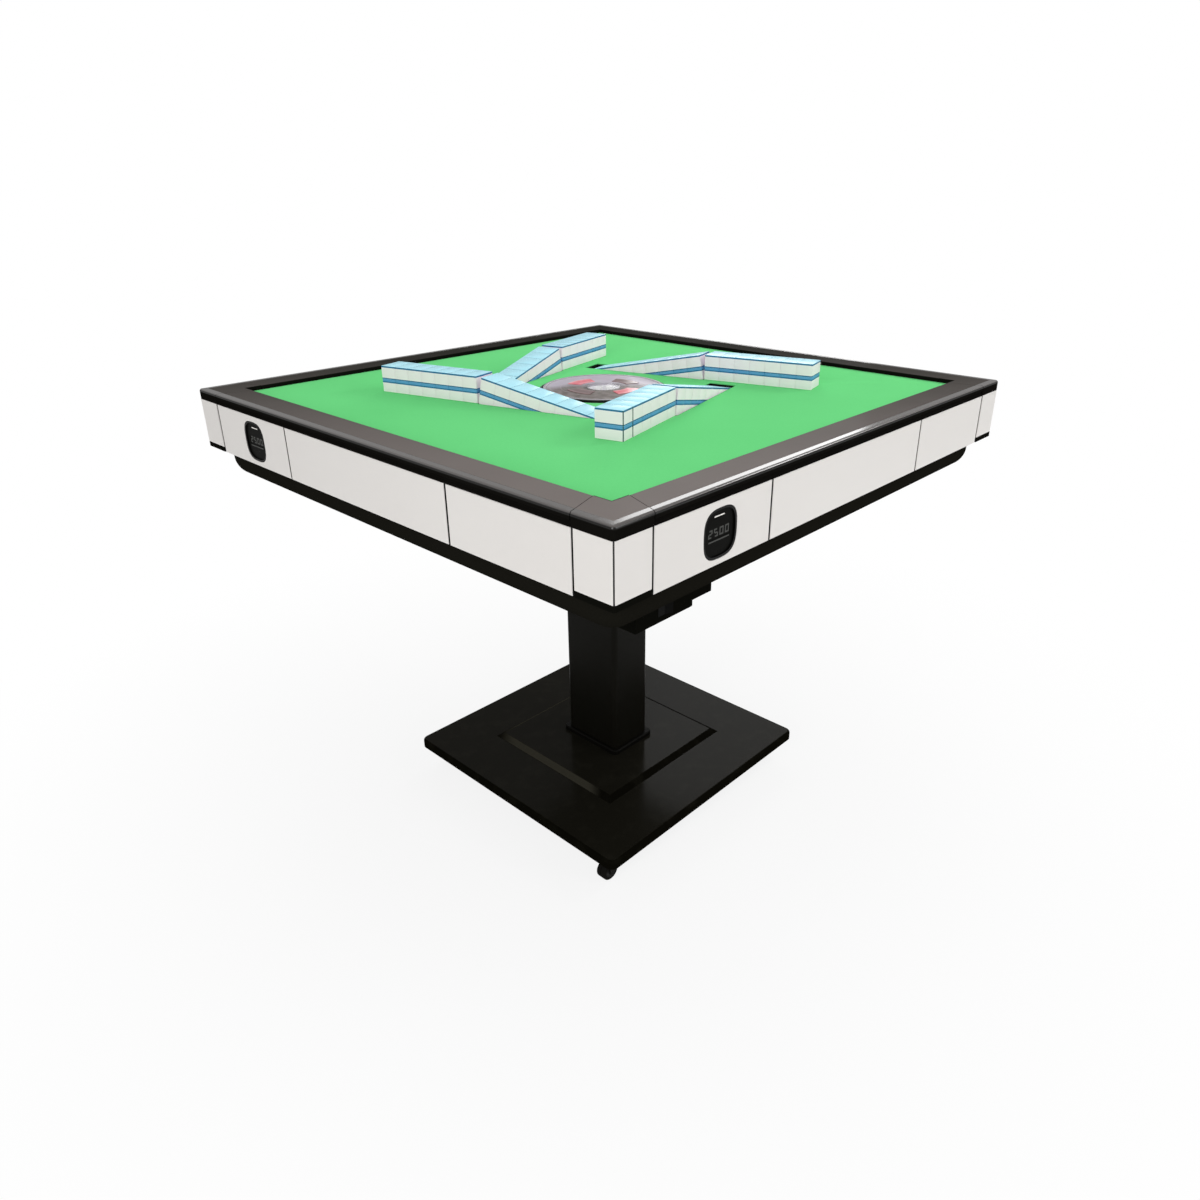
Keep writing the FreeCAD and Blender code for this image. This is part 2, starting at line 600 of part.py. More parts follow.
def playing_cloth():
    """Felt sheet on the deck."""
    z = (DECK_TOP, CLOTH_TOP)
    cloth = block(DECK_HALF, DECK_HALF, DECK_CORNER, z)
    cloth = cloth.cut(cyl(WELL_OUT + PART_GAP, z))
    slot = ramp_slot(z, 0.0)
    for side in SIDES:
        cloth = cloth.cut(on_wall(slot, side))
    return cloth


def rim_side():
    """Front rail of the rim: lipped profile, cut to the slanted seams of the corner pieces."""
    out, top, low = -HALF, TABLE_HEIGHT, RIM_UNDER
    step = out + RIM_STEP
    inner = out + RIM_WIDTH
    bottom, up = low + FASCIA_GROOVE[0], low + FASCIA_GROOVE[1]
    depth = FASCIA_GROOVE_DEPTH
    line = out + GROOVE_FROM_EDGE
    half_line = GROOVE_SIZE / 2
    points = [(step, CLOTH_TOP), (step, low), (out, low), (out, bottom), (out + depth, bottom + depth),
              (out + depth, up - depth), (out, up), (out, top - RIM_LIP)]
    edges = polyline(points)
    middle = RIM_LIP * (1 - math.sqrt(0.5))
    edges.append(arc((out, top - RIM_LIP), (out + middle, top - middle), (out + RIM_LIP, top)))
    points = [(out + RIM_LIP, top), (line - half_line, top), (line, top - GROOVE_SIZE),
              (line + half_line, top), (inner - RIM_INNER_ROUND, top)]
    edges += polyline(points)
    middle = RIM_INNER_ROUND * (1 - math.sqrt(0.5))
    edges.append(arc((inner - RIM_INNER_ROUND, top), (inner - middle, top - middle),
                     (inner, top - RIM_INNER_ROUND)))
    edges += polyline([(inner, top - RIM_INNER_ROUND), (inner, CLOTH_TOP), (step, CLOTH_TOP)])
    rail = Part.Face(Part.Wire(edges)).extrude(V(TABLE_SIDE, 0, 0))
    rail.translate(V(-HALF, 0, 0))
    outer_x = HALF - RIM_SEAM_OUT - RIM_SEAM_GAP / 2
    inner_x = HALF - RIM_SEAM_IN - RIM_SEAM_GAP / 2
    plan = [(-outer_x, out), (outer_x, out), (inner_x, inner), (-inner_x, inner)]
    return rail.common(prism(plan, (low, top)))


def polyline(points):
    """Straight edges through (y, z) points."""
    return [Part.LineSegment(V(0, *a), V(0, *b)).toShape() for a, b in zip(points, points[1:])]


def arc(start, middle, end):
    """An arc through three (y, z) points."""
    return Part.Arc(V(0, *start), V(0, *middle), V(0, *end)).toShape()


def rim_corner():
    """Corner piece of the rim at the front left, plain on its outer faces."""
    out, inner = -HALF, -HALF + RIM_WIDTH
    seam_out = -HALF + RIM_SEAM_OUT - RIM_SEAM_GAP / 2
    seam_in = -HALF + RIM_SEAM_IN - RIM_SEAM_GAP / 2
    plan = [(out, out), (seam_out, out), (seam_in, inner)]
    plan += [(inner, inner), (inner, seam_in), (out, seam_out)]
    piece = prism(plan, (RIM_UNDER, TABLE_HEIGHT))
    step = out + RIM_STEP
    piece = piece.cut(box((step, 0), (step, 0), (RIM_UNDER, CLOTH_TOP)))
    piece = piece.makeFillet(RIM_CORNER_ROUND, outer_corner(piece))
    near = out + RIM_CORNER_ROUND / 2
    top = [e for e in edges_at(piece, TABLE_HEIGHT) if min(e.CenterOfMass.x, e.CenterOfMass.y) < near]
    return piece.makeFillet(RIM_LIP, top)


# ---------------------------------------------------------------- sides
def panel(ends, z):
    """A board of a side with slightly rounded front edges."""
    board = box(ends, (-HALF, -TRAY_HALF), z)
    front = [e for e in board.Edges if e.BoundBox.YMax < -HALF + TOUCH]
    return board.makeFillet(PANEL_EDGE, front)


def middle_panel():
    """White board in the middle of a side."""
    return panel((-MIDDLE_HALF, MIDDLE_HALF), (PANEL_UNDER, PANEL_TOP))


def pod_panel():
    """White board with the pocket and the hole for the pod."""
    board = panel(POD_PANEL_ENDS, (PANEL_UNDER, PANEL_TOP))
    centre = (POD_X, POD_Z)
    pocket_end = -HALF + POD_RECESS + POD_FLANGE + POD_CLEAR
    board = board.cut(squircle_block(POD_HALF + POD_CLEAR, centre, (-HALF, pocket_end)))
    size = POD_BODY_HALF + POD_CLEAR
    hole = box((POD_X - size, POD_X + size), (-HALF, -TRAY_HALF), (POD_Z - size, POD_Z + size))
    return board.cut(hole)


def pod_housing():
    """Black pod: a rounded-square bezel in front of a closed box."""
    centre = (POD_X, POD_Z)
    front = -HALF + POD_RECESS
    flange_end = front + POD_FLANGE
    bezel = squircle_block(POD_HALF, centre, (front, flange_end))
    floor = front + POD_FACE_DROP + POD_FACE_THICK
    bezel = bezel.cut(squircle_block(POD_HALF - POD_BEZEL, centre, (front, floor)))
    size, wall = POD_BODY_HALF, POD_BODY_WALL
    back = front + POD_BODY_DEPTH
    body = box((POD_X - size, POD_X + size), (flange_end, back), (POD_Z - size, POD_Z + size))
    inner = size - wall
    hollow = box((POD_X - inner, POD_X + inner), (floor + wall, back - wall),
                 (POD_Z - inner, POD_Z + inner))
    return bezel.fuse(body).cut(hollow).removeSplitter()


def pod_face():
    """Glossy window in the bezel, with a light slot and a sunk display."""
    centre = (POD_X, POD_Z)
    front = -HALF + POD_RECESS + POD_FACE_DROP
    face = squircle_block(POD_HALF - POD_BEZEL - PART_GAP, centre, (front, front + POD_FACE_THICK))
    half_w, half_h = LIGHT_SLOT[0] / 2, LIGHT_SLOT[1] / 2
    slot_z = LIGHT_SLOT_Z
    face = face.cut(box((POD_X - half_w, POD_X + half_w), (front, front + POD_FACE_THICK),
                        (slot_z - half_h, slot_z + half_h)))
    half_w, half_h = DISPLAY_SIZE[0] / 2, DISPLAY_SIZE[1] / 2
    return face.cut(box((POD_X - half_w, POD_X + half_w), (front, front + DISPLAY_SINK),
                        (POD_Z - half_h, POD_Z + half_h)))


def corner_post():
    """Black post behind the white cap, with the strip that shows under it."""
    plan = (-HALF, -CAP_END)
    post = box(plan, plan, (PANEL_UNDER, PANEL_TOP))
    post = post.makeFillet(CAP_ROUND, outer_corner(post))
    skin = -HALF + CAP_SKIN
    upper = box((-HALF, 0), (-HALF, 0), (PANEL_UNDER + CAP_FOOT, PANEL_TOP))
    core = box((skin, 0), (skin, 0), (PANEL_UNDER + CAP_FOOT, PANEL_TOP))
    core = core.makeFillet(CAP_ROUND - CAP_SKIN, outer_corner(core))
    post = post.cut(upper.cut(core))
    return post.cut(block(TRAY_HALF, TRAY_HALF, TRAY_CORNER, (PANEL_UNDER, PANEL_TOP)))


def outer_corner(solid):
    """The upright edge of a solid that is nearest to the front left corner."""
    upright = [e for e in solid.Edges if is_upright(e)]
    return [min(upright, key=lambda e: e.CenterOfMass.x + e.CenterOfMass.y)]


def corner_cap():
    """White cap that wraps the corner post."""
    z = (PANEL_UNDER + CAP_FOOT, PANEL_TOP)
    cap = box((-HALF, -CAP_END), (-HALF, -CAP_END), z)
    cap = cap.makeFillet(CAP_ROUND, outer_corner(cap))
    skin = -HALF + CAP_SKIN
    core = box((skin, 0), (skin, 0), z)
    cap = cap.cut(core.makeFillet(CAP_ROUND - CAP_SKIN, outer_corner(core)))
    width, depth = CAP_MITRE
    reach = math.sqrt(2) * (HALF - CAP_ROUND) + CAP_ROUND
    line = box((-reach - CAP_ROUND, depth - reach), (-width / 2, width / 2), z)
    return cap.cut(turned(line, 45))


# ---------------------------------------------------------------- drawers
def drawer_front():
    """White board that closes the drawer's opening."""
    return panel(DRAWER_ENDS, (PANEL_UNDER, RIM_UNDER - DRAWER_CLEAR))


def drawer_box():
    """Black tray behind the drawer front, with a rail along each side."""
    half = DRAWER_BOX_WIDTH / 2
    y = (-TRAY_HALF, -TRAY_HALF + DRAWER_BOX_DEPTH)
    z = (DRAWER_UNDER, DRAWER_TOP)
    wall = DRAWER_WALL
    tray = box((DRAWER_MID - half, DRAWER_MID + half), y, z)
    tray = tray.cut(box((DRAWER_MID - half + wall, DRAWER_MID + half - wall), (y[0] + wall, y[1] - wall),
                        (z[0] + wall, z[1])))
    middle = (z[0] + z[1]) / 2
    rail_z = (middle - TONGUE_HEIGHT / 2, middle + TONGUE_HEIGHT / 2)
    for x in ((DRAWER_MID - half - TONGUE_WIDTH, DRAWER_MID - half),
              (DRAWER_MID + half, DRAWER_MID + half + TONGUE_WIDTH)):
        tray = tray.fuse(box(x, y, rail_z))
    return tray.removeSplitter()


def drawer_runners():
    """The two fixed channels that the drawer's rails slide in, hung from the top frame."""
    half = DRAWER_BOX_WIDTH / 2
    middle = (DRAWER_UNDER + DRAWER_TOP) / 2
    inner_z = (middle - TONGUE_HEIGHT / 2 - RUNNER_CLEAR, middle + TONGUE_HEIGHT / 2 + RUNNER_CLEAR)
    outer_z = (inner_z[0] - RUNNER_LIP, inner_z[1] + RUNNER_LIP)
    y = (-TRAY_HALF + TRAY_WALL, -TRAY_HALF + DRAWER_BOX_DEPTH)
    web_out = half + TONGUE_WIDTH + RUNNER_CLEAR + RUNNER_WEB
    solids = []
    for sign in (-1, 1):
        ends = sorted((DRAWER_MID + sign * (half + RUNNER_CLEAR), DRAWER_MID + sign * web_out))
        channel = box(ends, y, outer_z)
        groove = sorted((DRAWER_MID + sign * half, DRAWER_MID + sign * (web_out - RUNNER_WEB)))
        channel = channel.cut(box(groove, y, inner_z))
        web = sorted((DRAWER_MID + sign * (web_out - RUNNER_WEB), DRAWER_MID + sign * web_out))
        hanger = box(web, y, (outer_z[0], FRAME_UNDER))
        solids.append(channel.fuse(hanger).removeSplitter())
    return Part.makeCompound(solids)


# ---------------------------------------------------------------- tiles and ramps
def tile(start, low):
    """One tile lying face down, its length across the wall."""
    y = (WALL_MID - TILE_LENGTH / 2, WALL_MID + TILE_LENGTH / 2)
    return box((start + TILE_GAP / 2, start + TILE_WIDTH - TILE_GAP / 2), y, (low, low + TILE_THICK))


def tile_row(first, count):
    """Stacks of two tiles side by side, from a first position along the wall."""
    solids = []
    for i in range(count):
        for level in (0, 1):
            solids.append(tile(first + i * TILE_WIDTH, CLOTH_TOP + level * TILE_THICK))
    return Part.makeCompound(solids)


def level_tiles():
    """The level part of each wall, standing on the cloth."""
    walls = []
    for side in SIDES:
        count = LEVEL_STACKS[side]
        row = on_wall(tile_row(-BEND_BACK - count * TILE_WIDTH, count), side)
        walls += row.Solids
    return Part.makeCompound(walls)


def ramp_tiles(side):
    """The stacks that still lie on the lowered ramp."""
    return on_wall(lowered(tile_row(-BEND_BACK + RAMP_START, RAMP_STACKS)), side)


def tile_ramp(side):
    """Hinged flap that closes the slot; it rests lowered under the tiles."""
    y = (WALL_MID - RAMP_WIDTH / 2, WALL_MID + RAMP_WIDTH / 2)
    start = -BEND_BACK + RAMP_START
    flap = box((start, -BEND_BACK + RAMP_LENGTH), y, (CLOTH_TOP - RAMP_THICK, CLOTH_TOP))
    barrel = Part.makeCylinder(HINGE_BARREL, RAMP_WIDTH, V(-BEND_BACK, y[0], HINGE_Z), V(0, 1, 0))
    web = box((start, start + HINGE_BARREL), y, (HINGE_Z, CLOTH_TOP - RAMP_THICK / 2))
    pin = Part.makeCylinder(HINGE_PIN_R, RAMP_WIDTH + 2 * HINGE_PIN_OUT,
                            V(-BEND_BACK, y[0] - HINGE_PIN_OUT, HINGE_Z), V(0, 1, 0))
    flap = flap.fuse([barrel, web, pin]).removeSplitter()
    return on_wall(lowered(flap), side)


# ---------------------------------------------------------------- centre console
def well_ring():
    """Black ring that lines the hole in the deck and cloth."""
    return tube(WELL_OUT, WELL_IN, (CLOTH_TOP - WELL_DEPTH, CLOTH_TOP))


def console_housing():
    """Round cup of the console, with the dice well, the shaft boss and the key guides."""
    z = (CONSOLE_UNDER, COVER_UNDER)
    cup = cyl(HOUSING_R, z).cut(cyl(HOUSING_R - CONSOLE_WALL, (CONSOLE_FLOOR_TOP, z[1])))
    ledge = tube(HOUSING_R - CONSOLE_WALL, LEDGE_IN, (COVER_UNDER - LEDGE_THICK, COVER_UNDER))
    well_in = DICE_PLATE_R + DICE_WELL_CLEAR
    well = tube(well_in + DICE_WELL_WALL, well_in, (CONSOLE_FLOOR_TOP, COVER_UNDER))
    boss = cyl(DICE_BOSS_R, (CONSOLE_FLOOR_TOP, CONSOLE_FLOOR_TOP + DICE_BOSS))
    cup = cup.fuse([ledge, well, boss])
    cup = cup.cut(cyl(DICE_SHAFT_R + RUN_FIT, (CONSOLE_FLOOR_TOP, CONSOLE_FLOOR_TOP + DICE_BOSS)))
    for side in SIDES:
        guide = on_side(cyl(KEY_STEM_R + KEY_GUIDE_CLEAR + KEY_GUIDE_WALL,
                            (CONSOLE_FLOOR_TOP, CONSOLE_FLOOR_TOP + KEY_GUIDE), key_stem_place()), side)
        hole = on_side(cyl(KEY_STEM_R + KEY_GUIDE_CLEAR,
                           (CONSOLE_FLOOR_TOP, CONSOLE_FLOOR_TOP + KEY_GUIDE), key_stem_place()), side)
        cup = cup.fuse(guide).cut(hole)
    return cup.removeSplitter()


def key_stem_place():
    """Where the front key's stem stands."""
    return (0.0, -(KEY_IN + KEY_OUT) / 2)


def sector(inner, outer, half_angle, z):
    """A ring sector about the front direction."""
    reach = 2 * outer
    a = math.radians(half_angle)
    wedge = prism([(0.0, 0.0), (-reach * math.sin(a), -reach * math.cos(a)),
                   (reach * math.sin(a), -reach * math.cos(a))], z)
    return tube(outer, inner, z).common(wedge)


def console_key(side):
    """Dice key: a ring sector through the cover, with a lip under it and a stem."""
    lip_top = COVER_UNDER - KEY_LIP_GAP
    lip_low = lip_top - KEY_LIP_THICK
    head = sector(KEY_IN, KEY_OUT, KEY_HALF_ANGLE, (lip_low, CONSOLE_TOP + KEY_PROUD))
    spread = math.degrees(KEY_LIP / KEY_IN)
    lip = sector(KEY_IN - KEY_LIP, KEY_OUT + KEY_LIP, KEY_HALF_ANGLE + spread, (lip_low, lip_top))
    stem_low = CONSOLE_FLOOR_TOP + KEY_GUIDE - KEY_STEM_HELD
    stem = cyl(KEY_STEM_R, (stem_low, lip_low), key_stem_place())
    return on_side(head.fuse([lip, stem]).removeSplitter(), side)


def console_cover():
    """Smoked clear disc on the housing's ledge, cut out for the keys and the dice well."""
    z = (COVER_UNDER, CONSOLE_TOP)
    cover = cyl(COVER_R, z).cut(cyl(DICE_PLATE_R + DICE_WELL_CLEAR, z))
    spread = math.degrees(KEY_CLEAR / KEY_IN)
    cut = sector(KEY_IN - KEY_CLEAR, KEY_OUT + KEY_CLEAR, KEY_HALF_ANGLE + spread, z)
    for side in SIDES:
        cover = cover.cut(on_side(cut, side))
    return cover


def console_ring():
    """Bright ring round the cover, on top of the housing's wall."""
    z = (COVER_UNDER, CONSOLE_TOP + RING_ROUND / 2)
    ring = tube(CONSOLE_R, RING_IN, z)
    return ring.makeFillet(RING_ROUND, edges_at(ring, z[1]))


def dice_dome():
    """Low clear dome over the dice, with a flange on the cover."""
    base = CONSOLE_TOP
    solid = dome_cap(DOME_R, base + DOME_RISE, base)
    flange = cyl(DOME_R + DOME_FLANGE, (base, base + DOME_FLANGE_THICK))
    hollow = dome_cap(DOME_R - DOME_SHELL, base + DOME_RISE - DOME_SHELL, base)
    return solid.fuse(flange).cut(hollow).removeSplitter()


def dome_cap(radius, top, base):
    """The part of a ball above a plane, as wide as the radius given and up to the top."""
    rise = top - base
    ball = (radius * radius + rise * rise) / (2 * rise)
    sphere = Part.makeSphere(ball, V(0, 0, top - ball))
    return sphere.common(cyl(radius, (base, top + rise)))


def dice_plate():
    """Round plate that shakes and turns the dice, on a shaft in the housing's boss."""
    low = CONSOLE_FLOOR_TOP + DICE_BOSS + PART_GAP
    plate = cyl(DICE_PLATE_R, (low, low + DICE_PLATE_THICK))
    shaft = cyl(DICE_SHAFT_R, (CONSOLE_FLOOR_TOP + PART_GAP, low))
    return plate.fuse(shaft).removeSplitter()


def dice():
    """Two dice lying on the plate."""
    low = CONSOLE_FLOOR_TOP + DICE_BOSS + PART_GAP + DICE_PLATE_THICK
    half = DICE_SIZE / 2
    solids = []
    for x, y, angle in DICE_PLACES:
        cube = box((x - half, x + half), (y - half, y + half), (low, low + DICE_SIZE))
        solids.append(turned(cube, angle, V(x, y, 0)))
    return Part.makeCompound(solids)


def lift_tube():
    """Tube that raises the console, sliding in the drive's sleeve down into the column."""
    top = CONSOLE_UNDER
    flange = cyl(LIFT_TUBE_R + LIFT_FLANGE_WIDTH, (top - LIFT_FLANGE, top))
    stem = cyl(LIFT_TUBE_R, (LIFT_TUBE_LOW, top))
    bore = cyl(LIFT_TUBE_R - LIFT_TUBE_WALL, (LIFT_TUBE_LOW, top - LIFT_FLANGE))
    return flange.fuse(stem).cut(bore).removeSplitter()


def lift_drive():
    """Cast sleeve on the tray's floor that guides the lift tube and carries the drum, and its motor."""
    floor = TRAY_FLOOR
    flange = cyl(DRUM_SEAT_R + DRIVE_FLANGE_WIDTH, (floor, floor + DRIVE_FLANGE))
    sleeve = cyl(SLEEVE_R, (SLEEVE_LOW, SLEEVE_TOP))
    seat = cyl(DRUM_SEAT_R, (floor, floor + DRUM_SEAT_UP))
    journal = cyl(DRUM_JOURNAL_R, (floor, floor + DRUM_SEAT_UP + DRUM_JOURNAL))
    casting = flange.fuse([sleeve, seat, journal]).removeSplitter()
    casting = casting.cut(cyl(LIFT_TUBE_R + RUN_FIT, (SLEEVE_LOW, SLEEVE_TOP)))
    y = (SLEEVE_R, COLUMN_Y / 2 - COLUMN_WALL - LIFT_MOTOR_CLEAR)
    z = (SLEEVE_LOW, SLEEVE_LOW + LIFT_MOTOR_HEIGHT)
    motor = box((-LIFT_MOTOR_WIDTH / 2, LIFT_MOTOR_WIDTH / 2), y, z)
    return Part.makeCompound([casting, motor])


def drum_motor():
    """Flat ring motor on the drive's flange, just under the drum."""
    low = TRAY_FLOOR + DRIVE_FLANGE
    return tube(STATOR_OUT, STATOR_IN, (low, DRUM_UNDER - STATOR_GAP))


def shuffle_drum():
    """Shallow turning pan that the dropped tiles are mixed in."""
    bore = DRUM_JOURNAL_R + RUN_FIT
    low, thick = DRUM_UNDER, DRUM_THICK
    profile = [(bore, low), (DRUM_R, low), (DRUM_R, low + DRUM_WALL_HEIGHT),
               (DRUM_R - DRUM_WALL, low + DRUM_WALL_HEIGHT), (DRUM_R - DRUM_WALL, low + thick),
               (bore, low + thick)]
    return revolved(profile)


# ---------------------------------------------------------------- power box
def power_box():
    """Mains box under the tray, with the switch pocket and the inlet socket."""
    end = POWER_END
    deep = box((POWER_START, POWER_STEP), POWER_Y, (TRAY_UNDER - POWER_DEEP, TRAY_UNDER))
    low_edges = edges_at(deep, TRAY_UNDER - POWER_DEEP)
    deep = deep.makeFillet(POWER_EDGE, low_edges)
    shallow = box((POWER_STEP - POWER_EDGE, end), POWER_Y, (TRAY_UNDER - POWER_SHALLOW, TRAY_UNDER))
    case = deep.fuse(shallow).removeSplitter()
    y_mid = (POWER_Y[0] + POWER_Y[1]) / 2
    z_mid = TRAY_UNDER - POWER_SHALLOW / 2
    width, height, depth = INLET_SIZE
    case = case.cut(box((end - depth, end), (y_mid - width / 2, y_mid + width / 2),
                        (z_mid - height / 2, z_mid + height / 2)))
    thick, tall, long = INLET_PIN
    for offset in (-width / 4, 0.0, width / 4):
        case = case.fuse(box((end - depth, end - depth + long),
                             (y_mid + offset - thick / 2, y_mid + offset + thick / 2),
                             (z_mid - tall / 2, z_mid + tall / 2)))
    half_w = SWITCH_SIZE[0] / 2 + SWITCH_SWING
    half_h = SWITCH_SIZE[1] / 2 + SWITCH_CLEAR
    pocket = box((SWITCH_X - half_w, SWITCH_X + half_w), (POWER_Y[0], POWER_Y[0] + SWITCH_DEPTH),
                 (SWITCH_Z - half_h, SWITCH_Z + half_h))
    bore = Part.makeCylinder(SWITCH_PIN_R + RUN_FIT, 2 * half_h + 4 * SWITCH_PIN_R,
                             V(SWITCH_X, SWITCH_PIVOT_Y, SWITCH_Z - half_h - 2 * SWITCH_PIN_R))
    return case.cut(pocket).cut(bore).removeSplitter()


def rocker_switch():
    """Rocker on an upright pivot pin: a shallow V in plan, one half pressed in."""
    half = SWITCH_SIZE[0] / 2
    z = (SWITCH_Z - SWITCH_SIZE[1] / 2, SWITCH_Z + SWITCH_SIZE[1] / 2)
    slope = math.tan(math.radians(SWITCH_TILT))
    front = POWER_Y[0]
    end_y = front - half * slope
    back = SWITCH_PIVOT_Y + SWITCH_PIN_R
    side_x, side_y = half - SWITCH_PIN_R, front + SWITCH_PIN_R
    plan = [(-half, end_y), (0.0, front), (half, end_y), (side_x, side_y)]
    plan += [(2 * SWITCH_PIN_R, back), (-2 * SWITCH_PIN_R, back), (-side_x, side_y)]
    body = prism([(SWITCH_X + x, y) for x, y in plan], z)
    pin = cyl(SWITCH_PIN_R, (z[0] - SWITCH_PIN_R, z[1] + SWITCH_PIN_R), (SWITCH_X, SWITCH_PIVOT_Y))
    rocker = body.fuse(pin).removeSplitter()
    return turned(rocker, -SWITCH_TILT, V(SWITCH_X, SWITCH_PIVOT_Y, 0))


# ---------------------------------------------------------------- the set of nodes
def build():
    """Every node of the table, by name."""
    nodes = {
        "base_plate": base_plate(),
        "column": column(),
        "column_collar": column_collar(),
        "column_bolts": column_bolts(),
        "caster_plates": Part.makeCompound([placed(caster_plate(), at) for at in caster_places().values()]),
        "chassis_tray": chassis_tray(),
        "top_frame": on_all_sides(frame_rail()),
        "table_deck": table_deck(),
        "playing_cloth": playing_cloth(),
        "rim_sides": on_all_sides(rim_side()),
        "rim_corners": on_all_sides(rim_corner()),
        "corner_posts": on_all_sides(corner_post()),
        "corner_caps": on_all_sides(corner_cap()),
        "pod_panels": on_all_sides(pod_panel()),
        "middle_panels": on_all_sides(middle_panel()),
        "pod_housings": on_all_sides(pod_housing()),
        "pod_faces": on_all_sides(pod_face()),
        "drawer_runners": on_all_sides(drawer_runners()),
        "well_ring": well_ring(),
        "level_tiles": level_tiles(),
        "console_housing": console_housing(),
        "console_cover": console_cover(),
        "console_ring": console_ring(),
        "dice_dome": dice_dome(),
        "dice_plate": dice_plate(),
        "dice": dice(),
        "lift_tube": lift_tube(),
        "lift_drive": lift_drive(),
        "drum_motor": drum_motor(),
        "shuffle_drum": shuffle_drum(),
        "power_box": power_box(),
        "rocker_switch": rocker_switch(),
    }
    for side, at in caster_places().items():
        turn = CASTER_TURN[side]
        nodes["caster_fork_" + side] = placed(turned(caster_fork(), turn), at)
        nodes["caster_wheel_" + side] = placed(turned(caster_wheel(), turn), at)
    for side in SIDES:
        nodes["drawer_front_" + side] = on_side(drawer_front(), side)
        nodes["drawer_box_" + side] = on_side(drawer_box(), side)
        nodes["console_key_" + side] = console_key(side)
        nodes["tile_ramp_" + side] = tile_ramp(side)
        nodes["ramp_tiles_" + side] = ramp_tiles(side)
    return nodes


def flat_solids(shape):
    """A compound of a shape's solids with no nesting."""
    return Part.makeCompound(shape.Solids) if len(shape.Solids) > 1 else shape.Solids[0]


os.makedirs("parts", exist_ok=True)
for name, shape in build().items():
    flat_solids(shape).exportStep("parts/" + name + ".step")
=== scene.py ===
import math

import bpy
import numpy as np
from mathutils import Matrix, Vector


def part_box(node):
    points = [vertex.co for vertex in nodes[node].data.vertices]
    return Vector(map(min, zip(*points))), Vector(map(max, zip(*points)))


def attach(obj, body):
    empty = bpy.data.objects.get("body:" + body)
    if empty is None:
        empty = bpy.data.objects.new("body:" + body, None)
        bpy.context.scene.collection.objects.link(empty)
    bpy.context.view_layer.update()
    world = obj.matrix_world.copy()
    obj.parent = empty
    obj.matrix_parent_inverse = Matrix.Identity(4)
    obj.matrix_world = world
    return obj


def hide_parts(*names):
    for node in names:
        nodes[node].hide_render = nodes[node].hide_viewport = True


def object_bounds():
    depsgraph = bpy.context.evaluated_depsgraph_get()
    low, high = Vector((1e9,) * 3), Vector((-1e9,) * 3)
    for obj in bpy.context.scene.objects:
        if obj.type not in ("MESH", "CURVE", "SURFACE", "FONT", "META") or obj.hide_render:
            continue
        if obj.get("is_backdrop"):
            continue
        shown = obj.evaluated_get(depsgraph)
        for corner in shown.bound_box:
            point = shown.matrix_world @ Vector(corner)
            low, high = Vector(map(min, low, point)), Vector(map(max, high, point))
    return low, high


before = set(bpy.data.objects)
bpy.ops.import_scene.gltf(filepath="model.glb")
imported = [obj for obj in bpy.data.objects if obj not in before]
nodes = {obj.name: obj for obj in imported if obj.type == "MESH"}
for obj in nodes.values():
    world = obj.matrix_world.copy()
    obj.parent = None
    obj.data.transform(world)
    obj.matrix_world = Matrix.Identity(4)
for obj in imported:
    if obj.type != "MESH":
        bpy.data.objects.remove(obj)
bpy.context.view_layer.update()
SIDES = ["front", "right", "back", "left"]


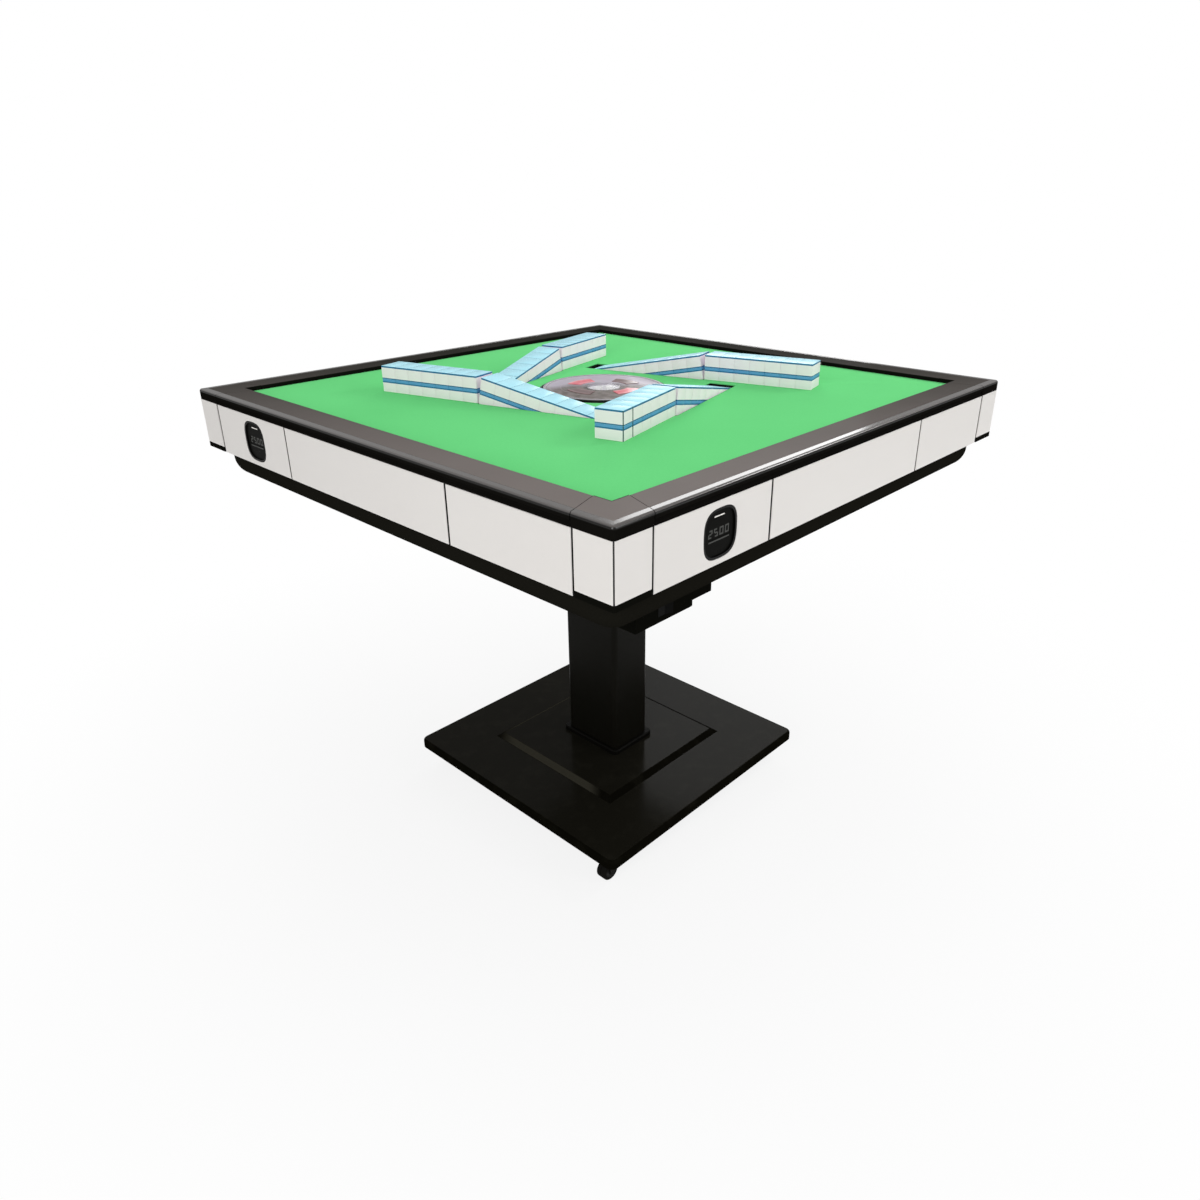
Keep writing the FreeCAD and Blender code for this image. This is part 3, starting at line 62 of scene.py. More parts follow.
# ---------------------------------------------------------------- casters
# Four small twin-cheek casters under the corners of the base. The forks are pressed steel, painted
# black; each wheel is a rubber tyre moulded on a dark grey hub and turns on the riveted axle.
class Paint:
    """A value inside a material: arithmetic adds Math nodes, and node() adds any other kind."""

    def __init__(self, tree, socket):
        self.tree, self.socket = tree, socket

    def node(self, kind, settings, inputs, output=0):
        """One more node: its kind, the settings that come first, and its sockets' values or links."""
        made = self.tree.nodes.new("ShaderNode" + kind)
        for name, value in settings.items():
            setattr(made, name, value)
        for name, value in inputs.items():
            if isinstance(value, Paint):
                self.tree.links.new(value.socket, made.inputs[name])
            else:
                made.inputs[name].default_value = value
        return Paint(self.tree, made.outputs[output])

    def math(self, operation, *values):
        """A Math node on these values, or on this one alone."""
        return self.node("Math", {"operation": operation}, dict(enumerate(values or (self,))))

    def __add__(self, other):
        return self.math("ADD", self, other)

    def __sub__(self, other):
        return self.math("SUBTRACT", self, other)

    def __rsub__(self, other):
        return self.math("SUBTRACT", other, self)

    def __mul__(self, other):
        return self.math("MULTIPLY", self, other)

    def step(self, start, end):
        """0 below start, 1 above end, smooth between; start may be the larger."""
        ranges = {"From Min": start, "From Max": end, "To Min": 0.0, "To Max": 1.0}
        return self.node("MapRange", {"interpolation_type": "SMOOTHSTEP"}, {"Value": self, **ranges})

    def band(self, start, end, soft):
        """1 between start and end and 0 outside, smooth over soft on both sides of each."""
        return self.step(start - soft, start + soft) * (1.0 - self.step(end - soft, end + soft))

    def waves(self, rate):
        """Sine waves between 0 and 1 along this value, in radians to a metre."""
        return (self * rate).math("SINE") * 0.5 + 0.5

    def noise(self, scale, detail=3.0):
        """Cloudy noise between 0 and 1 at this place."""
        return self.node("TexNoise", {}, {"Vector": self, "Scale": scale, "Detail": detail})

    def stretched(self, x, y, z):
        """This place with each axis scaled, so that a noise on it runs in streaks."""
        return self.node("VectorMath", {"operation": "MULTIPLY"}, {0: self, 1: (x, y, z)})

    def axis(self, number):
        return self.node("SeparateXYZ", {}, {0: self}, number)

    def from_centre(self):
        """Distance of this place from the upright axis through the table's centre."""
        x, y = self.axis(0), self.axis(1)
        return (x * x + y * y).math("SQRT")

    def outward(self):
        """How far out this place lies towards the side of the square that is nearest to it."""
        return self.math("MAXIMUM", self.axis(0).math("ABSOLUTE"), self.axis(1).math("ABSOLUTE"))

    def mix(self, low, high):
        """A colour between two, by this value."""
        return self.node("Mix", {"data_type": "RGBA"}, {0: self, 6: low, 7: high}, 2)

    def bump(self, strength, depth):
        return self.node("Bump", {}, {"Height": self, "Strength": strength, "Distance": depth})


def tone(red, green, blue):
    """A colour of the screen, 0 to 255, as the linear colour that a shader takes."""
    linear = [((c / 255 + 0.055) / 1.055) ** 2.4 if c > 10 else c / 3295 for c in (red, green, blue)]
    return tuple(linear) + (1.0,)


def finish(name, fixed, paint):
    """A material on one Principled shader: numbers that are the same all over, and what varies."""
    material = bpy.data.materials.new(name)
    material.use_nodes = True
    tree = material.node_tree
    shader = tree.nodes["Principled BSDF"]
    for socket, value in fixed.items():
        shader.inputs[socket].default_value = value
    place = Paint(tree, tree.nodes.new("ShaderNodeTexCoord").outputs["Object"])
    for socket, value in paint(place).items():
        tree.links.new(value.socket, shader.inputs[socket])
    return material


def speckled(name, colour, rough, grain, depth, spread=0.12, specular=0.5, metallic=0.0):
    """Moulded, cast or painted surface: cloudy colour, uneven gloss and a fine even grain."""
    def paint(place):
        cloud = place.noise(9.0)
        dust = place.noise(70.0)
        low, high = [tuple(min(1.0, c * k) for c in colour[:3]) + (1.0,) for k in (1 - spread, 1 + spread)]
        return {"Base Color": (cloud * 0.6 + dust * 0.4).mix(low, high),
                "Roughness": dust * (0.5 * rough) + 0.75 * rough,
                "Normal": place.noise(grain, 2.0).bump(0.35, depth)}
    return finish(name, {"Specular IOR Level": specular, "Metallic": metallic}, paint)


def dress(material, *names):
    """Give CAD nodes their finish."""
    for name in names:
        mesh = nodes[name].data
        mesh.materials.clear()
        mesh.materials.append(material)


def revolve(profile, count, centre=(0.0, 0.0, 0.0), axis="z"):
    """A closed profile of (radius, along) points carried round an axis: one ring of points for each
    step, joined into quads. Vertex (i, j) is profile point j turned by 2 pi i / count."""
    radius, along = np.array(profile, float).T
    angle = np.arange(count) * 2 * math.pi / count
    round_x = np.outer(np.cos(angle), radius)
    round_y = np.outer(np.sin(angle), radius)
    level = np.tile(along, (count, 1))
    parts = {"x": (level, round_x, round_y), "y": (round_x, level, -round_y),
             "z": (round_x, round_y, level)}
    points = np.stack(parts[axis], axis=-1).reshape(-1, 3) + np.array(centre)
    n = len(profile)
    i, j = np.meshgrid(np.arange(count), np.arange(n), indexing="ij")
    next_i, next_j = (i + 1) % count, (j + 1) % n
    faces = np.stack([i * n + j, next_i * n + j, next_i * n + next_j, i * n + next_j], axis=-1)
    return points, faces.reshape(-1, 4).tolist()


CREASE = math.radians(40.0)      # edges that turn by more stay sharp


def make(name, points, faces, materials, body, slot, stands_for=(), kinds=None):
    """A piece from its points and faces, smooth but for its creases, with one material or with a kind
    for each face that says which."""
    mesh = bpy.data.meshes.new(name)
    mesh.from_pydata(np.asarray(points, float).tolist(), [], faces)
    for material in materials:
        mesh.materials.append(material)
    if kinds is not None:
        mesh.polygons.foreach_set("material_index", np.asarray(kinds, np.int32))
    mesh.validate()
    mesh.update()
    mesh.shade_smooth()
    mesh.set_sharp_from_angle(angle=CREASE)
    piece = bpy.data.objects.new(name, mesh)
    bpy.context.scene.collection.objects.link(piece)
    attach(piece, body)
    if stands_for:
        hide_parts(*stands_for)
    return piece


WHEEL_RADIUS, WHEEL_HALF = 0.017, 0.010
HUB_RADIUS, HUB_SINK, HUB_BEVEL = 0.0115, 0.0016, 0.001
AXLE_HOLE = 0.00306
TREAD_ROUND = 0.003
SEAM_HALF, SEAM_DEEP = 0.001, 0.0008     # groove that the mould leaves round the tread
WHEEL_COUNT = 48
tyre_rubber = speckled("tyre_rubber", tone(19, 18, 16), 0.55, 900.0, 0.0003, specular=0.03)
hub_plastic = speckled("hub_plastic", tone(40, 40, 39), 0.4, 700.0, 0.0002, specular=0.1)
zinc = speckled("zinc_plate", tone(178, 178, 182), 0.32, 260.0, 0.0002, 0.15, metallic=1.0)
fork_paint = speckled("fork_paint", tone(18, 17, 15), 0.38, 500.0, 0.0002, specular=0.05)
dress(zinc, "caster_plates", "column_bolts")
edge = WHEEL_HALF - TREAD_ROUND
shoulder = [(WHEEL_RADIUS - TREAD_ROUND * (1 - math.sin(t)), edge + TREAD_ROUND * math.cos(t))
            for t in np.linspace(0.0, math.pi / 2, 5)]
hub = [(AXLE_HOLE, WHEEL_HALF - HUB_SINK), (HUB_RADIUS - HUB_BEVEL, WHEEL_HALF - HUB_SINK)]
seam = [(WHEEL_RADIUS, SEAM_HALF), (WHEEL_RADIUS - SEAM_DEEP, SEAM_HALF / 2)]
half = hub + [(HUB_RADIUS, WHEEL_HALF)] + shoulder + seam
profile = half + [(r, -y) for r, y in reversed(half)]
for side in SIDES:
    low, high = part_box("caster_wheel_" + side)
    axle = "x" if high.x - low.x < high.y - low.y else "y"
    points, faces = revolve(profile, WHEEL_COUNT, (low + high) / 2, axle)
    ring = np.arange(len(faces)) % len(profile)
    in_hub = (ring < len(hub)) | (ring >= len(profile) - len(hub) - 1)
    make("tyre_and_hub_" + side, points, faces, [tyre_rubber, hub_plastic], "wheel_" + side, "wheel_black",
         ["caster_wheel_" + side], in_hub)
    dress(fork_paint, "caster_fork_" + side)


# ---------------------------------------------------------------- base, column and collar
# A pressed steel floor plate with a raised square, lacquered black, carries a box column in the same
# black. A moulded collar hides the joint where the column's foot is bolted down.
BASE_FLAT = (0.06175, 0.06235)       # heights just under and over the plate's level face
BEVEL_RISE = (0.0626, 0.0696)        # heights of the raised square's bevel
PLINTH_FLAT = (0.0696, 0.0699)       # up to the level face of the raised square
FLAT_SOFT, BEVEL_SOFT = 0.00015, 0.0002
BEVEL_HIGHLIGHT_FROM, BEVEL_HIGHLIGHT_TO = (0.02, 0.06), (0.26, 0.32)     # of y - x, along the bevel on the left


def lacquer(place):
    """Deep black with faint orange peel. Only the two level faces were polished and dust lies there.
    The rounded edge, the sides and the bevel of the raised square are matt, and the bevel on the left
    is painted a dull grey: a painted highlight where it faces the light."""
    x, y, z = place.axis(0), place.axis(1), place.axis(2)
    level = z.band(*BASE_FLAT, FLAT_SOFT) + z.step(*PLINTH_FLAT)
    # The left part of the bevel is painted lighter grey: a painted highlight.
    bevel = z.band(*BEVEL_RISE, BEVEL_SOFT) * (y - x).step(*BEVEL_HIGHLIGHT_FROM)
    painted_bevel_highlight = bevel * (1.0 - (y - x).step(*BEVEL_HIGHLIGHT_TO))
    dust = place.noise(38.0, 5.0).step(0.45, 0.8)
    # Paler on the level faces and where dust lies, and on the left bevel as a painted highlight.
    dull = level * 0.16 + dust * 0.1 + painted_bevel_highlight * 0.9
    return {"Base Color": dull.mix(tone(12, 11, 7), tone(56, 54, 46)),
            "Roughness": dust * 0.12 + 0.3,
            "Coat Weight": level * 0.08,
            "Normal": place.noise(160.0, 2.0).bump(0.1, 0.0004)}


base_lacquer = finish("base_lacquer", {"Specular IOR Level": 0.0, "Coat Roughness": 0.16}, lacquer)
column_coat = speckled("column_coat", tone(16, 15, 11), 0.36, 420.0, 0.0003, 0.1, specular=0.06)
collar_plastic = speckled("collar_plastic", tone(12, 11, 9), 0.45, 800.0, 0.0002, 0.1, specular=0.03)
dress(base_lacquer, "base_plate")
dress(column_coat, "column")
dress(collar_plastic, "column_collar")


# ---------------------------------------------------------------- tray and top frame
# The tray is one deep vacuum-formed shell with a leathery grain, rounded underneath. Mill-finish
# aluminium rails lie on its edge and carry the board and the cloth.
tray_plastic = speckled("tray_plastic", tone(25, 24, 20), 0.5, 620.0, 0.0006, 0.1, specular=0.0)


def milled(place):
    """Extruded aluminium: streaks drawn out along the rail in both directions, slightly dull."""
    streaks = place.stretched(3.0, 3.0, 900.0).noise(1.0)
    return {"Base Color": streaks.mix(tone(178, 178, 182), tone(205, 205, 208)),
            "Roughness": streaks * 0.15 + 0.3,
            "Normal": streaks.bump(0.1, 0.0002)}


aluminium = finish("rail_aluminium", {"Metallic": 1.0}, milled)
dress(tray_plastic, "chassis_tray")
dress(aluminium, "top_frame")


# ---------------------------------------------------------------- board and playing cloth
# A black-stained board lies on the frame. The cloth on it is one sheet of short felt, glued flat and
# trimmed round the ramps and the console, so its cut edges are slightly rounded over.
def stained_board(place):
    """Ply stained black: faint long grain streaks."""
    grain = place.stretched(6.0, 160.0, 160.0).noise(1.0, 4.0)
    return {"Base Color": grain.mix(tone(12, 14, 12), tone(26, 28, 24)),
            "Roughness": grain * 0.2 + 0.7,
            "Normal": grain.bump(0.3, 0.0003)}


board = finish("stained_ply", {"Specular IOR Level": 0.1}, stained_board)
dress(board, "table_deck")

WALL_TURN = math.radians(15.0)
WALL_OUT = 0.191          # outer face of a tile wall from the table's centre
TILE_LONG, TILE_WIDE, TILE_HIGH = 0.045, 0.028, 0.0215
WALL_MID = -(WALL_OUT - TILE_LONG / 2)
BEND = -0.128             # where a wall bends down, along the wall from its middle
WALL_SHIFT = {"front": 0.009, "right": 0.004, "back": 0.024, "left": 0.003}
SLOT_LONG = 0.246
SLOT_HALF = 0.0245
SLOT_ROUND = 0.0008
CLOTH_CORNER = 0.026
CLOTH_EDGE = 0.0006       # rounding of its cut edges
WELL_GAP = 0.0002         # cloth clear of the well's lining
WELL_COUNT = 96
cloth_low, cloth_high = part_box("playing_cloth")
CLOTH_TOP = cloth_high.z


def to_side(points, side):
    """Points of the front side's own frame carried to a side by quarter turns."""
    quarter = math.radians(90.0 * SIDES.index(side))
    c, s = math.cos(quarter), math.sin(quarter)
    x, y, z = np.asarray(points, float).T
    return np.stack([x * c - y * s, x * s + y * c, z], axis=-1)


def from_wall(points, side):
    """Points of a wall's frame, where x runs along the wall, carried to its side."""
    c, s = math.cos(WALL_TURN), math.sin(WALL_TURN)
    x, y, z = (np.asarray(points, float) + (WALL_SHIFT[side], 0.0, 0.0)).T
    return to_side(np.stack([x * c - y * s, x * s + y * c, z], axis=-1), side)


def rounded_outline(x, y, radii, steps):
    """Outline of a rectangle between x and y ends whose corners, counted from the low x, low y one
    anticlockwise, are arcs of these radii."""
    corners = [(x[0], y[0], 1, 1), (x[1], y[0], -1, 1), (x[1], y[1], -1, -1), (x[0], y[1], 1, -1)]
    loops = []
    for k, ((cx, cy, sx, sy), r) in enumerate(zip(corners, radii)):
        angle = math.pi + math.pi / 2 * (k + np.linspace(0.0, 1.0, steps + 1))
        loops.append(np.stack([cx + sx * r + r * np.cos(angle), cy + sy * r + r * np.sin(angle)],
                              axis=-1))
    return np.concatenate(loops)


def circle(radius, count):
    """Points of a circle round the origin."""
    angle = np.arange(count) * 2 * math.pi / count
    return np.stack([radius * np.cos(angle), radius * np.sin(angle)], axis=-1)


def cut_sheet(name, loops, z, edge, material, body, slot, stands_for):
    """A flat sheet between two heights with openings: the first loop is its outline and the others
    are cut out of it. Its edges are rounded over by a small radius."""
    curve = bpy.data.curves.new(name, "CURVE")
    curve.dimensions = "2D"
    curve.fill_mode = "BOTH"
    curve.extrude = (z[1] - z[0]) / 2 - edge
    curve.bevel_depth = edge
    curve.bevel_resolution = 2
    curve.offset = -edge
    for loop in loops:
        spline = curve.splines.new("POLY")
        spline.points.add(len(loop) - 1)
        flat = np.column_stack([loop, np.zeros(len(loop)), np.ones(len(loop))])
        spline.points.foreach_set("co", flat.ravel())
        spline.use_cyclic_u = True
    holder = bpy.data.objects.new(name + "_outline", curve)
    bpy.context.scene.collection.objects.link(holder)
    mesh = bpy.data.meshes.new_from_object(holder.evaluated_get(bpy.context.evaluated_depsgraph_get()))
    points = np.zeros(len(mesh.vertices) * 3)
    mesh.vertices.foreach_get("co", points)
    points = points.reshape(-1, 3) + np.array([0.0, 0.0, (z[0] + z[1]) / 2])
    faces = [list(p.vertices) for p in mesh.polygons]
    bpy.data.objects.remove(holder)
    bpy.data.meshes.remove(mesh)
    return make(name, *welded(points, faces), [material], body, slot, stands_for)


def welded(points, faces):
    """The same faces with points that coincide to a thousandth of a millimetre made one."""
    _, first, where = np.unique(np.round(points * 1e6).astype(np.int64), axis=0,
                                return_index=True, return_inverse=True)
    where = where.ravel()
    joined = []
    for face in faces:
        ring = []
        for v in where[face].tolist():
            if v not in ring:
                ring.append(v)
        if len(ring) > 2:
            joined.append(ring)
    return points[first], joined


def felt(place):
    """Short wool felt: matted fibres a millimetre long, brushed darker and lighter in soft patches."""
    fibre = place.noise(850.0, 4.0)
    streak = place.stretched(240.0, 900.0, 900.0).noise(1.0, 2.0)
    nap = place.noise(5.0, 2.0)
    shade = fibre * 0.35 + streak * 0.25 + nap * 0.4
    return {"Base Color": shade.mix(tone(94, 204, 117), tone(119, 232, 143)),
            "Roughness": fibre * 0.1 + 0.88,
            "Normal": (fibre + streak * 0.7).bump(0.45, 0.0006)}


green_felt = finish("green_felt", {"Sheen Weight": 0.04, "Sheen Roughness": 0.5,
                                   "Specular IOR Level": 0.0}, felt)
outline = rounded_outline((cloth_low.x, cloth_high.x), (cloth_low.y, cloth_high.y), [CLOTH_CORNER] * 4, 8)
well_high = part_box("well_ring")[1]
loops = [outline, circle(well_high.x + WELL_GAP, WELL_COUNT)]
for side in SIDES:
    slot = rounded_outline((BEND, BEND + SLOT_LONG), (WALL_MID - SLOT_HALF, WALL_MID + SLOT_HALF),
                           [SLOT_ROUND] * 4, 2)
    loops.append(from_wall(np.column_stack([slot, np.zeros(len(slot))]), side)[:, :2])
cloth = cut_sheet("felt_playing_cloth", loops, (cloth_low.z, cloth_high.z), CLOTH_EDGE, green_felt,
                  "table", "cloth_green", ["playing_cloth"])


# ---------------------------------------------------------------- rim
# Four extruded rails with a rounded nose over a shadow groove, and four moulded corner pieces with
# slanted joints. The top is a soft coat, brown-grey at one corner and painted darker away from it as
# painted shade; the nose outside the fine groove is polished, and the walls under it are black.
TOP_RISE, LIP_RISE, POLISH_RISE = (0.7739, 0.7745), (0.7728, 0.7738), (0.7700, 0.7716)    # heights
INNER_WALL, GROOVE = (0.4290, 0.4312), (0.4728, 0.4736)     # distances outward
FAR_SIDE_PAINTED_SHADE = (-0.97, 0.5)          # of x + y, from the corner where both are lowest


def soft_coat(place):
    """Zones by height and by distance outward: a brown-grey soft coat on top, painted darker away from
    one corner as painted shade, a glossier grey lip outside the fine groove, and black on the outer and
    inner walls."""
    x, y, z = place.axis(0), place.axis(1), place.axis(2)
    out = place.outward()
    upper = z.step(*TOP_RISE) * out.step(*INNER_WALL)
    nose = out.step(*GROOVE)
    lip = nose * z.step(*LIP_RISE)
    polished = nose * z.step(*POLISH_RISE)
    top = upper * (1.0 - nose)
    cloud = place.noise(14.0)
    grain = place.noise(900.0, 2.0)
    walls = cloud.mix(tone(15, 14, 12), tone(21, 20, 18))
    # The top is painted darker away from the low x, low y corner: painted shade.
    darker = (x + y).step(*FAR_SIDE_PAINTED_SHADE) * 0.9 + cloud * 0.1
    coat = darker.mix(tone(128, 121, 118), tone(38, 38, 34))
    return {"Base Color": lip.mix(top.mix(walls, coat), tone(84, 80, 78)),
            "Roughness": cloud * 0.1 + 0.45,
            "Coat Weight": polished * 0.95 + top * 0.02,
            "Normal": (grain * top + place.noise(120.0) * 0.3).bump(0.12, 0.0003)}


rim_coat = finish("rim_coat", {"Specular IOR Level": 0.0, "Coat Roughness": 0.14}, soft_coat)
dress(rim_coat, "rim_sides", "rim_corners")


# ---------------------------------------------------------------- side panels, posts and caps
# White lacquered boards close the sides, with rounded edges that catch the light. A black post stands
# in each corner behind a thin white cap and shows as a strip under it.
PANEL_SEAM_SHADE = (0.4834, 0.4840)        # distance outward, from the edges painted black as seam shade to the face


def white_lacquer(place):
    """Warm white lacquer on the face, with faint orange peel and small changes of gloss. The edges
    of the board, from just behind its face, are painted black: painted shade in the seams."""
    # The board's edges are painted black as painted shade in the seams between panels.
    face = place.outward().step(*PANEL_SEAM_SHADE)
    white = place.noise(3.0, 1.0).mix(tone(226, 222, 218), tone(230, 227, 223))
    return {"Base Color": face.mix(tone(12, 11, 10), white),
            "Roughness": place.noise(30.0) * 0.06 + 0.26,
            "Normal": place.noise(210.0, 2.0).bump(0.06, 0.0003)}


lacquered_board = finish("white_lacquer", {"Coat Weight": 0.3, "Coat Roughness": 0.08}, white_lacquer)
dress(lacquered_board, "corner_caps", "pod_panels", "middle_panels")
post_plastic = speckled("post_plastic", tone(15, 15, 12), 0.4, 700.0, 0.0002, 0.1, specular=0.0)
dress(post_plastic, "corner_posts")


# ---------------------------------------------------------------- pods
# Each side has a gloss black pod: a rounded-square bezel round a recessed dark window with a small
# near-white bar near its top, a painted highlight, and a row of pale digits over a line. The digits
# are flat printed foil.
def pod_gloss(place):
    """Gloss black plastic with a few faint scuffs."""
    scuff = place.noise(60.0, 4.0)
    return {"Base Color": scuff.mix(tone(6, 6, 5), tone(11, 11, 10)),
            "Roughness": scuff * 0.08 + 0.08,
            "Normal": place.noise(140.0, 2.0).bump(0.05, 0.0002)}


pod_black = finish("pod_black", {"Specular IOR Level": 0.12}, pod_gloss)
dress(pod_black, "pod_housings")
window_black = speckled("pod_window", tone(13, 13, 11), 0.3, 500.0, 0.0001, 0.2, specular=0.02)
dress(window_black, "pod_faces")

digit_foil = speckled("digit_foil", tone(64, 65, 62), 0.4, 900.0, 0.0001, specular=0.2)
# A near-white bar near the top of each pod: a painted highlight.
pod_bar_painted_highlight = speckled("pod_bar_painted_highlight", tone(244, 240, 234), 0.25, 400.0, 0.0001, 0.02)
POD_X, POD_Z = -0.303, 0.7165
FACE_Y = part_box("pod_faces")[0].y
DIGIT_SINK = 0.0006       # how far the display is sunk in the window
DIGIT_PROUD = 0.00012     # foil to each side of the surface it lies on
DIGIT_WIDE, DIGIT_TALL, DIGIT_STROKE = 0.0078, 0.0104, 0.0020
DIGIT_PITCH = 0.0106
DIGIT_FOOT = -0.0042
LINE_UNDER = (-0.0098, -0.0080)   # the line's place below the window's middle
SEGMENTS = {"2": "abged", "5": "afgcd", "0": "abcdef"}


def bar_block(x, z, y):
    """A block between its two ends in x, in z and in y."""
    points = [(x[i], y[k], z[j]) for k in (0, 1) for j in (0, 1) for i in (0, 1)]
    faces = [[0, 1, 3, 2], [4, 6, 7, 5], [0, 4, 5, 1], [2, 3, 7, 6], [0, 2, 6, 4], [1, 5, 7, 3]]
    return points, faces


def joined(blocks):
    """Several sets of points and faces as one."""
    points, faces = [], []
    for block_points, block_faces in blocks:
        faces += [[v + len(points) for v in face] for face in block_faces]
        points += list(map(tuple, block_points))
    return points, faces


def digit(figure, left, foot, y):
    """The lit bars of one seven-bar figure whose lower left corner is given."""
    s, w, h = DIGIT_STROKE, DIGIT_WIDE, DIGIT_TALL
    middle = h / 2
    bars = {"a": ((s, w - s), (h - s, h)), "b": ((w - s, w), (middle, h)),
            "c": ((w - s, w), (0.0, middle)), "d": ((s, w - s), (0.0, s)),
            "e": ((0.0, s), (0.0, middle)), "f": ((0.0, s), (middle, h)),
            "g": ((s, w - s), (middle - s / 2, middle + s / 2))}
    found = []
    for name in SEGMENTS[figure]:
        (x0, x1), (z0, z1) = bars[name]
        found.append(bar_block((left + x0, left + x1), (foot + z0, foot + z1), y))
    return found


digit_y = (FACE_Y + DIGIT_SINK - DIGIT_PROUD, FACE_Y + DIGIT_SINK + DIGIT_PROUD)
blocks = []
for k, figure in enumerate("2500"):
    blocks += digit(figure, POD_X + (k - 1.5) * DIGIT_PITCH - DIGIT_WIDE / 2, POD_Z + DIGIT_FOOT, digit_y)
underline_half = 1.5 * DIGIT_PITCH + DIGIT_WIDE / 2
line_y = (FACE_Y - DIGIT_PROUD, FACE_Y + DIGIT_PROUD)
blocks.append(bar_block((POD_X - underline_half, POD_X + underline_half),
                        (POD_Z + LINE_UNDER[0], POD_Z + LINE_UNDER[1]), line_y))
front_points, front_faces = joined(blocks)
all_sides = joined([(to_side(front_points, side), front_faces) for side in SIDES])
make("pod_digits", *all_sides, [digit_foil], "table", "pod_black")

BAR_Z = 0.7375
BAR_HALF = (0.0098, 0.0009)
BAR_DEEP = 0.0018
BAR_EDGE = 0.0003       # bevel round its face
BAR_CORNER = 0.95       # radius of its ends as a share of its half height


def stacked(loops):
    """Equal closed loops joined into a closed body with a flat face on the first and the last."""
    count, n = len(loops), len(loops[0])
    faces = [list(range(n))[::-1], [(count - 1) * n + j for j in range(n)]]
    for i in range(count - 1):
        for j in range(n):
            k = (j + 1) % n
            faces.append([i * n + j, i * n + k, (i + 1) * n + k, (i + 1) * n + j])
    return np.concatenate(loops), faces


def highlight_bar():
    """A rounded near-white bar, a painted highlight, that fills the window's slot and stands level with
    its face.
    """
    loops = []
    for inset, y in ((0.0, BAR_DEEP), (0.0, BAR_EDGE), (BAR_EDGE, 0.0)):
        half_x, half_z = BAR_HALF[0] - inset, BAR_HALF[1] - inset
        ring = rounded_outline((-half_x, half_x), (-half_z, half_z), [half_z * BAR_CORNER] * 4, 4)
        loops.append(np.column_stack([POD_X + ring[:, 0], np.full(len(ring), FACE_Y + y),
                                      BAR_Z + ring[:, 1]]))
    return stacked(loops)


bar_points, bar_faces = highlight_bar()
bars = joined([(to_side(bar_points, side), bar_faces) for side in SIDES])
make("pod_highlight_bars", *bars, [pod_bar_painted_highlight], "table", "pod_black")


# ---------------------------------------------------------------- drawers
# Each drawer is a moulded black tray behind a white lacquered front, on rails that slide in zinc
# channels hung from the frame.
drawer_plastic = speckled("drawer_plastic", tone(44, 44, 43), 0.5, 650.0, 0.0005, 0.1)
dress(zinc, "drawer_runners")
for side in SIDES:
    dress(lacquered_board, "drawer_front_" + side)
    dress(drawer_plastic, "drawer_box_" + side)


# ---------------------------------------------------------------- tiles
# Two-high walls of tiles lying face down. A tile is polished ivory resin with a blue layer behind it
# and a pale blue back, moulded with small rounded edges. A few upright edges at one wall's free end
# are rounder and painted dark, as painted shade in the seams there.
def resin(low, high, rough):
    """Polished resin: faint clouds inside, soft highlights and hair-fine handling marks."""
    def paint(place):
        cloud = place.noise(45.0)
        marks = place.noise(420.0, 5.0)
        return {"Base Color": (cloud * 0.7 + marks * 0.3).mix(low, high),
                "Roughness": marks * 0.12 + rough,
                "Normal": marks.bump(0.04, 0.0002)}
    return paint


tile_fixed = {"Specular IOR Level": 0.05}
ivory = finish("tile_ivory", tile_fixed, resin(tone(251, 235, 244), tone(254, 243, 251), 0.3))
blue = finish("tile_blue", tile_fixed, resin(tone(92, 152, 206), tone(108, 168, 220), 0.3))
teal = finish("tile_line", tile_fixed, resin(tone(44, 108, 154), tone(56, 122, 168), 0.22))
pale_blue = finish("tile_back", tile_fixed, resin(tone(178, 236, 252), tone(190, 243, 255), 0.2))
tile_seam_shade = finish("tile_dark_edge", tile_fixed, resin(tone(58, 84, 92), tone(70, 98, 106), 0.3))

TILE_GAP = 0.00015
TILE_EDGE = 0.0005
TILE_CORNER = 0.0005
MARKED_CORNER = 0.0012
LEAST_CORNER = 0.0001     # radius that an outline keeps where it is pulled in
# Layers on a tile's side, from its back down: where each ends, and its colour. The lower tiles show
# a broad blue layer over a darker line, the upper ones a line under the pale back, and at their foot
# a dark line of painted shade where they sit on the lower tiles.
IVORY, BLUE, TEAL, PALE, SEAM_SHADE = range(5)
LAYERS = {0: [(0.0040, BLUE), (0.0062, TEAL)], 1: [(0.0027, TEAL), (0.0197, IVORY)]}
# The dark foot of the upper tiles is painted shade where they sit on the lower ones.
FOOT_AND_JOINT_SHADE = {0: IVORY, 1: TEAL}
LEVEL_STACKS = {"front": 6, "right": 7, "back": 6, "left": 7}
RAMP_STACKS = 8
RAMP_START = 0.0005
RAMP_DROP = math.radians(11.3)
HINGE_Z = 0.761


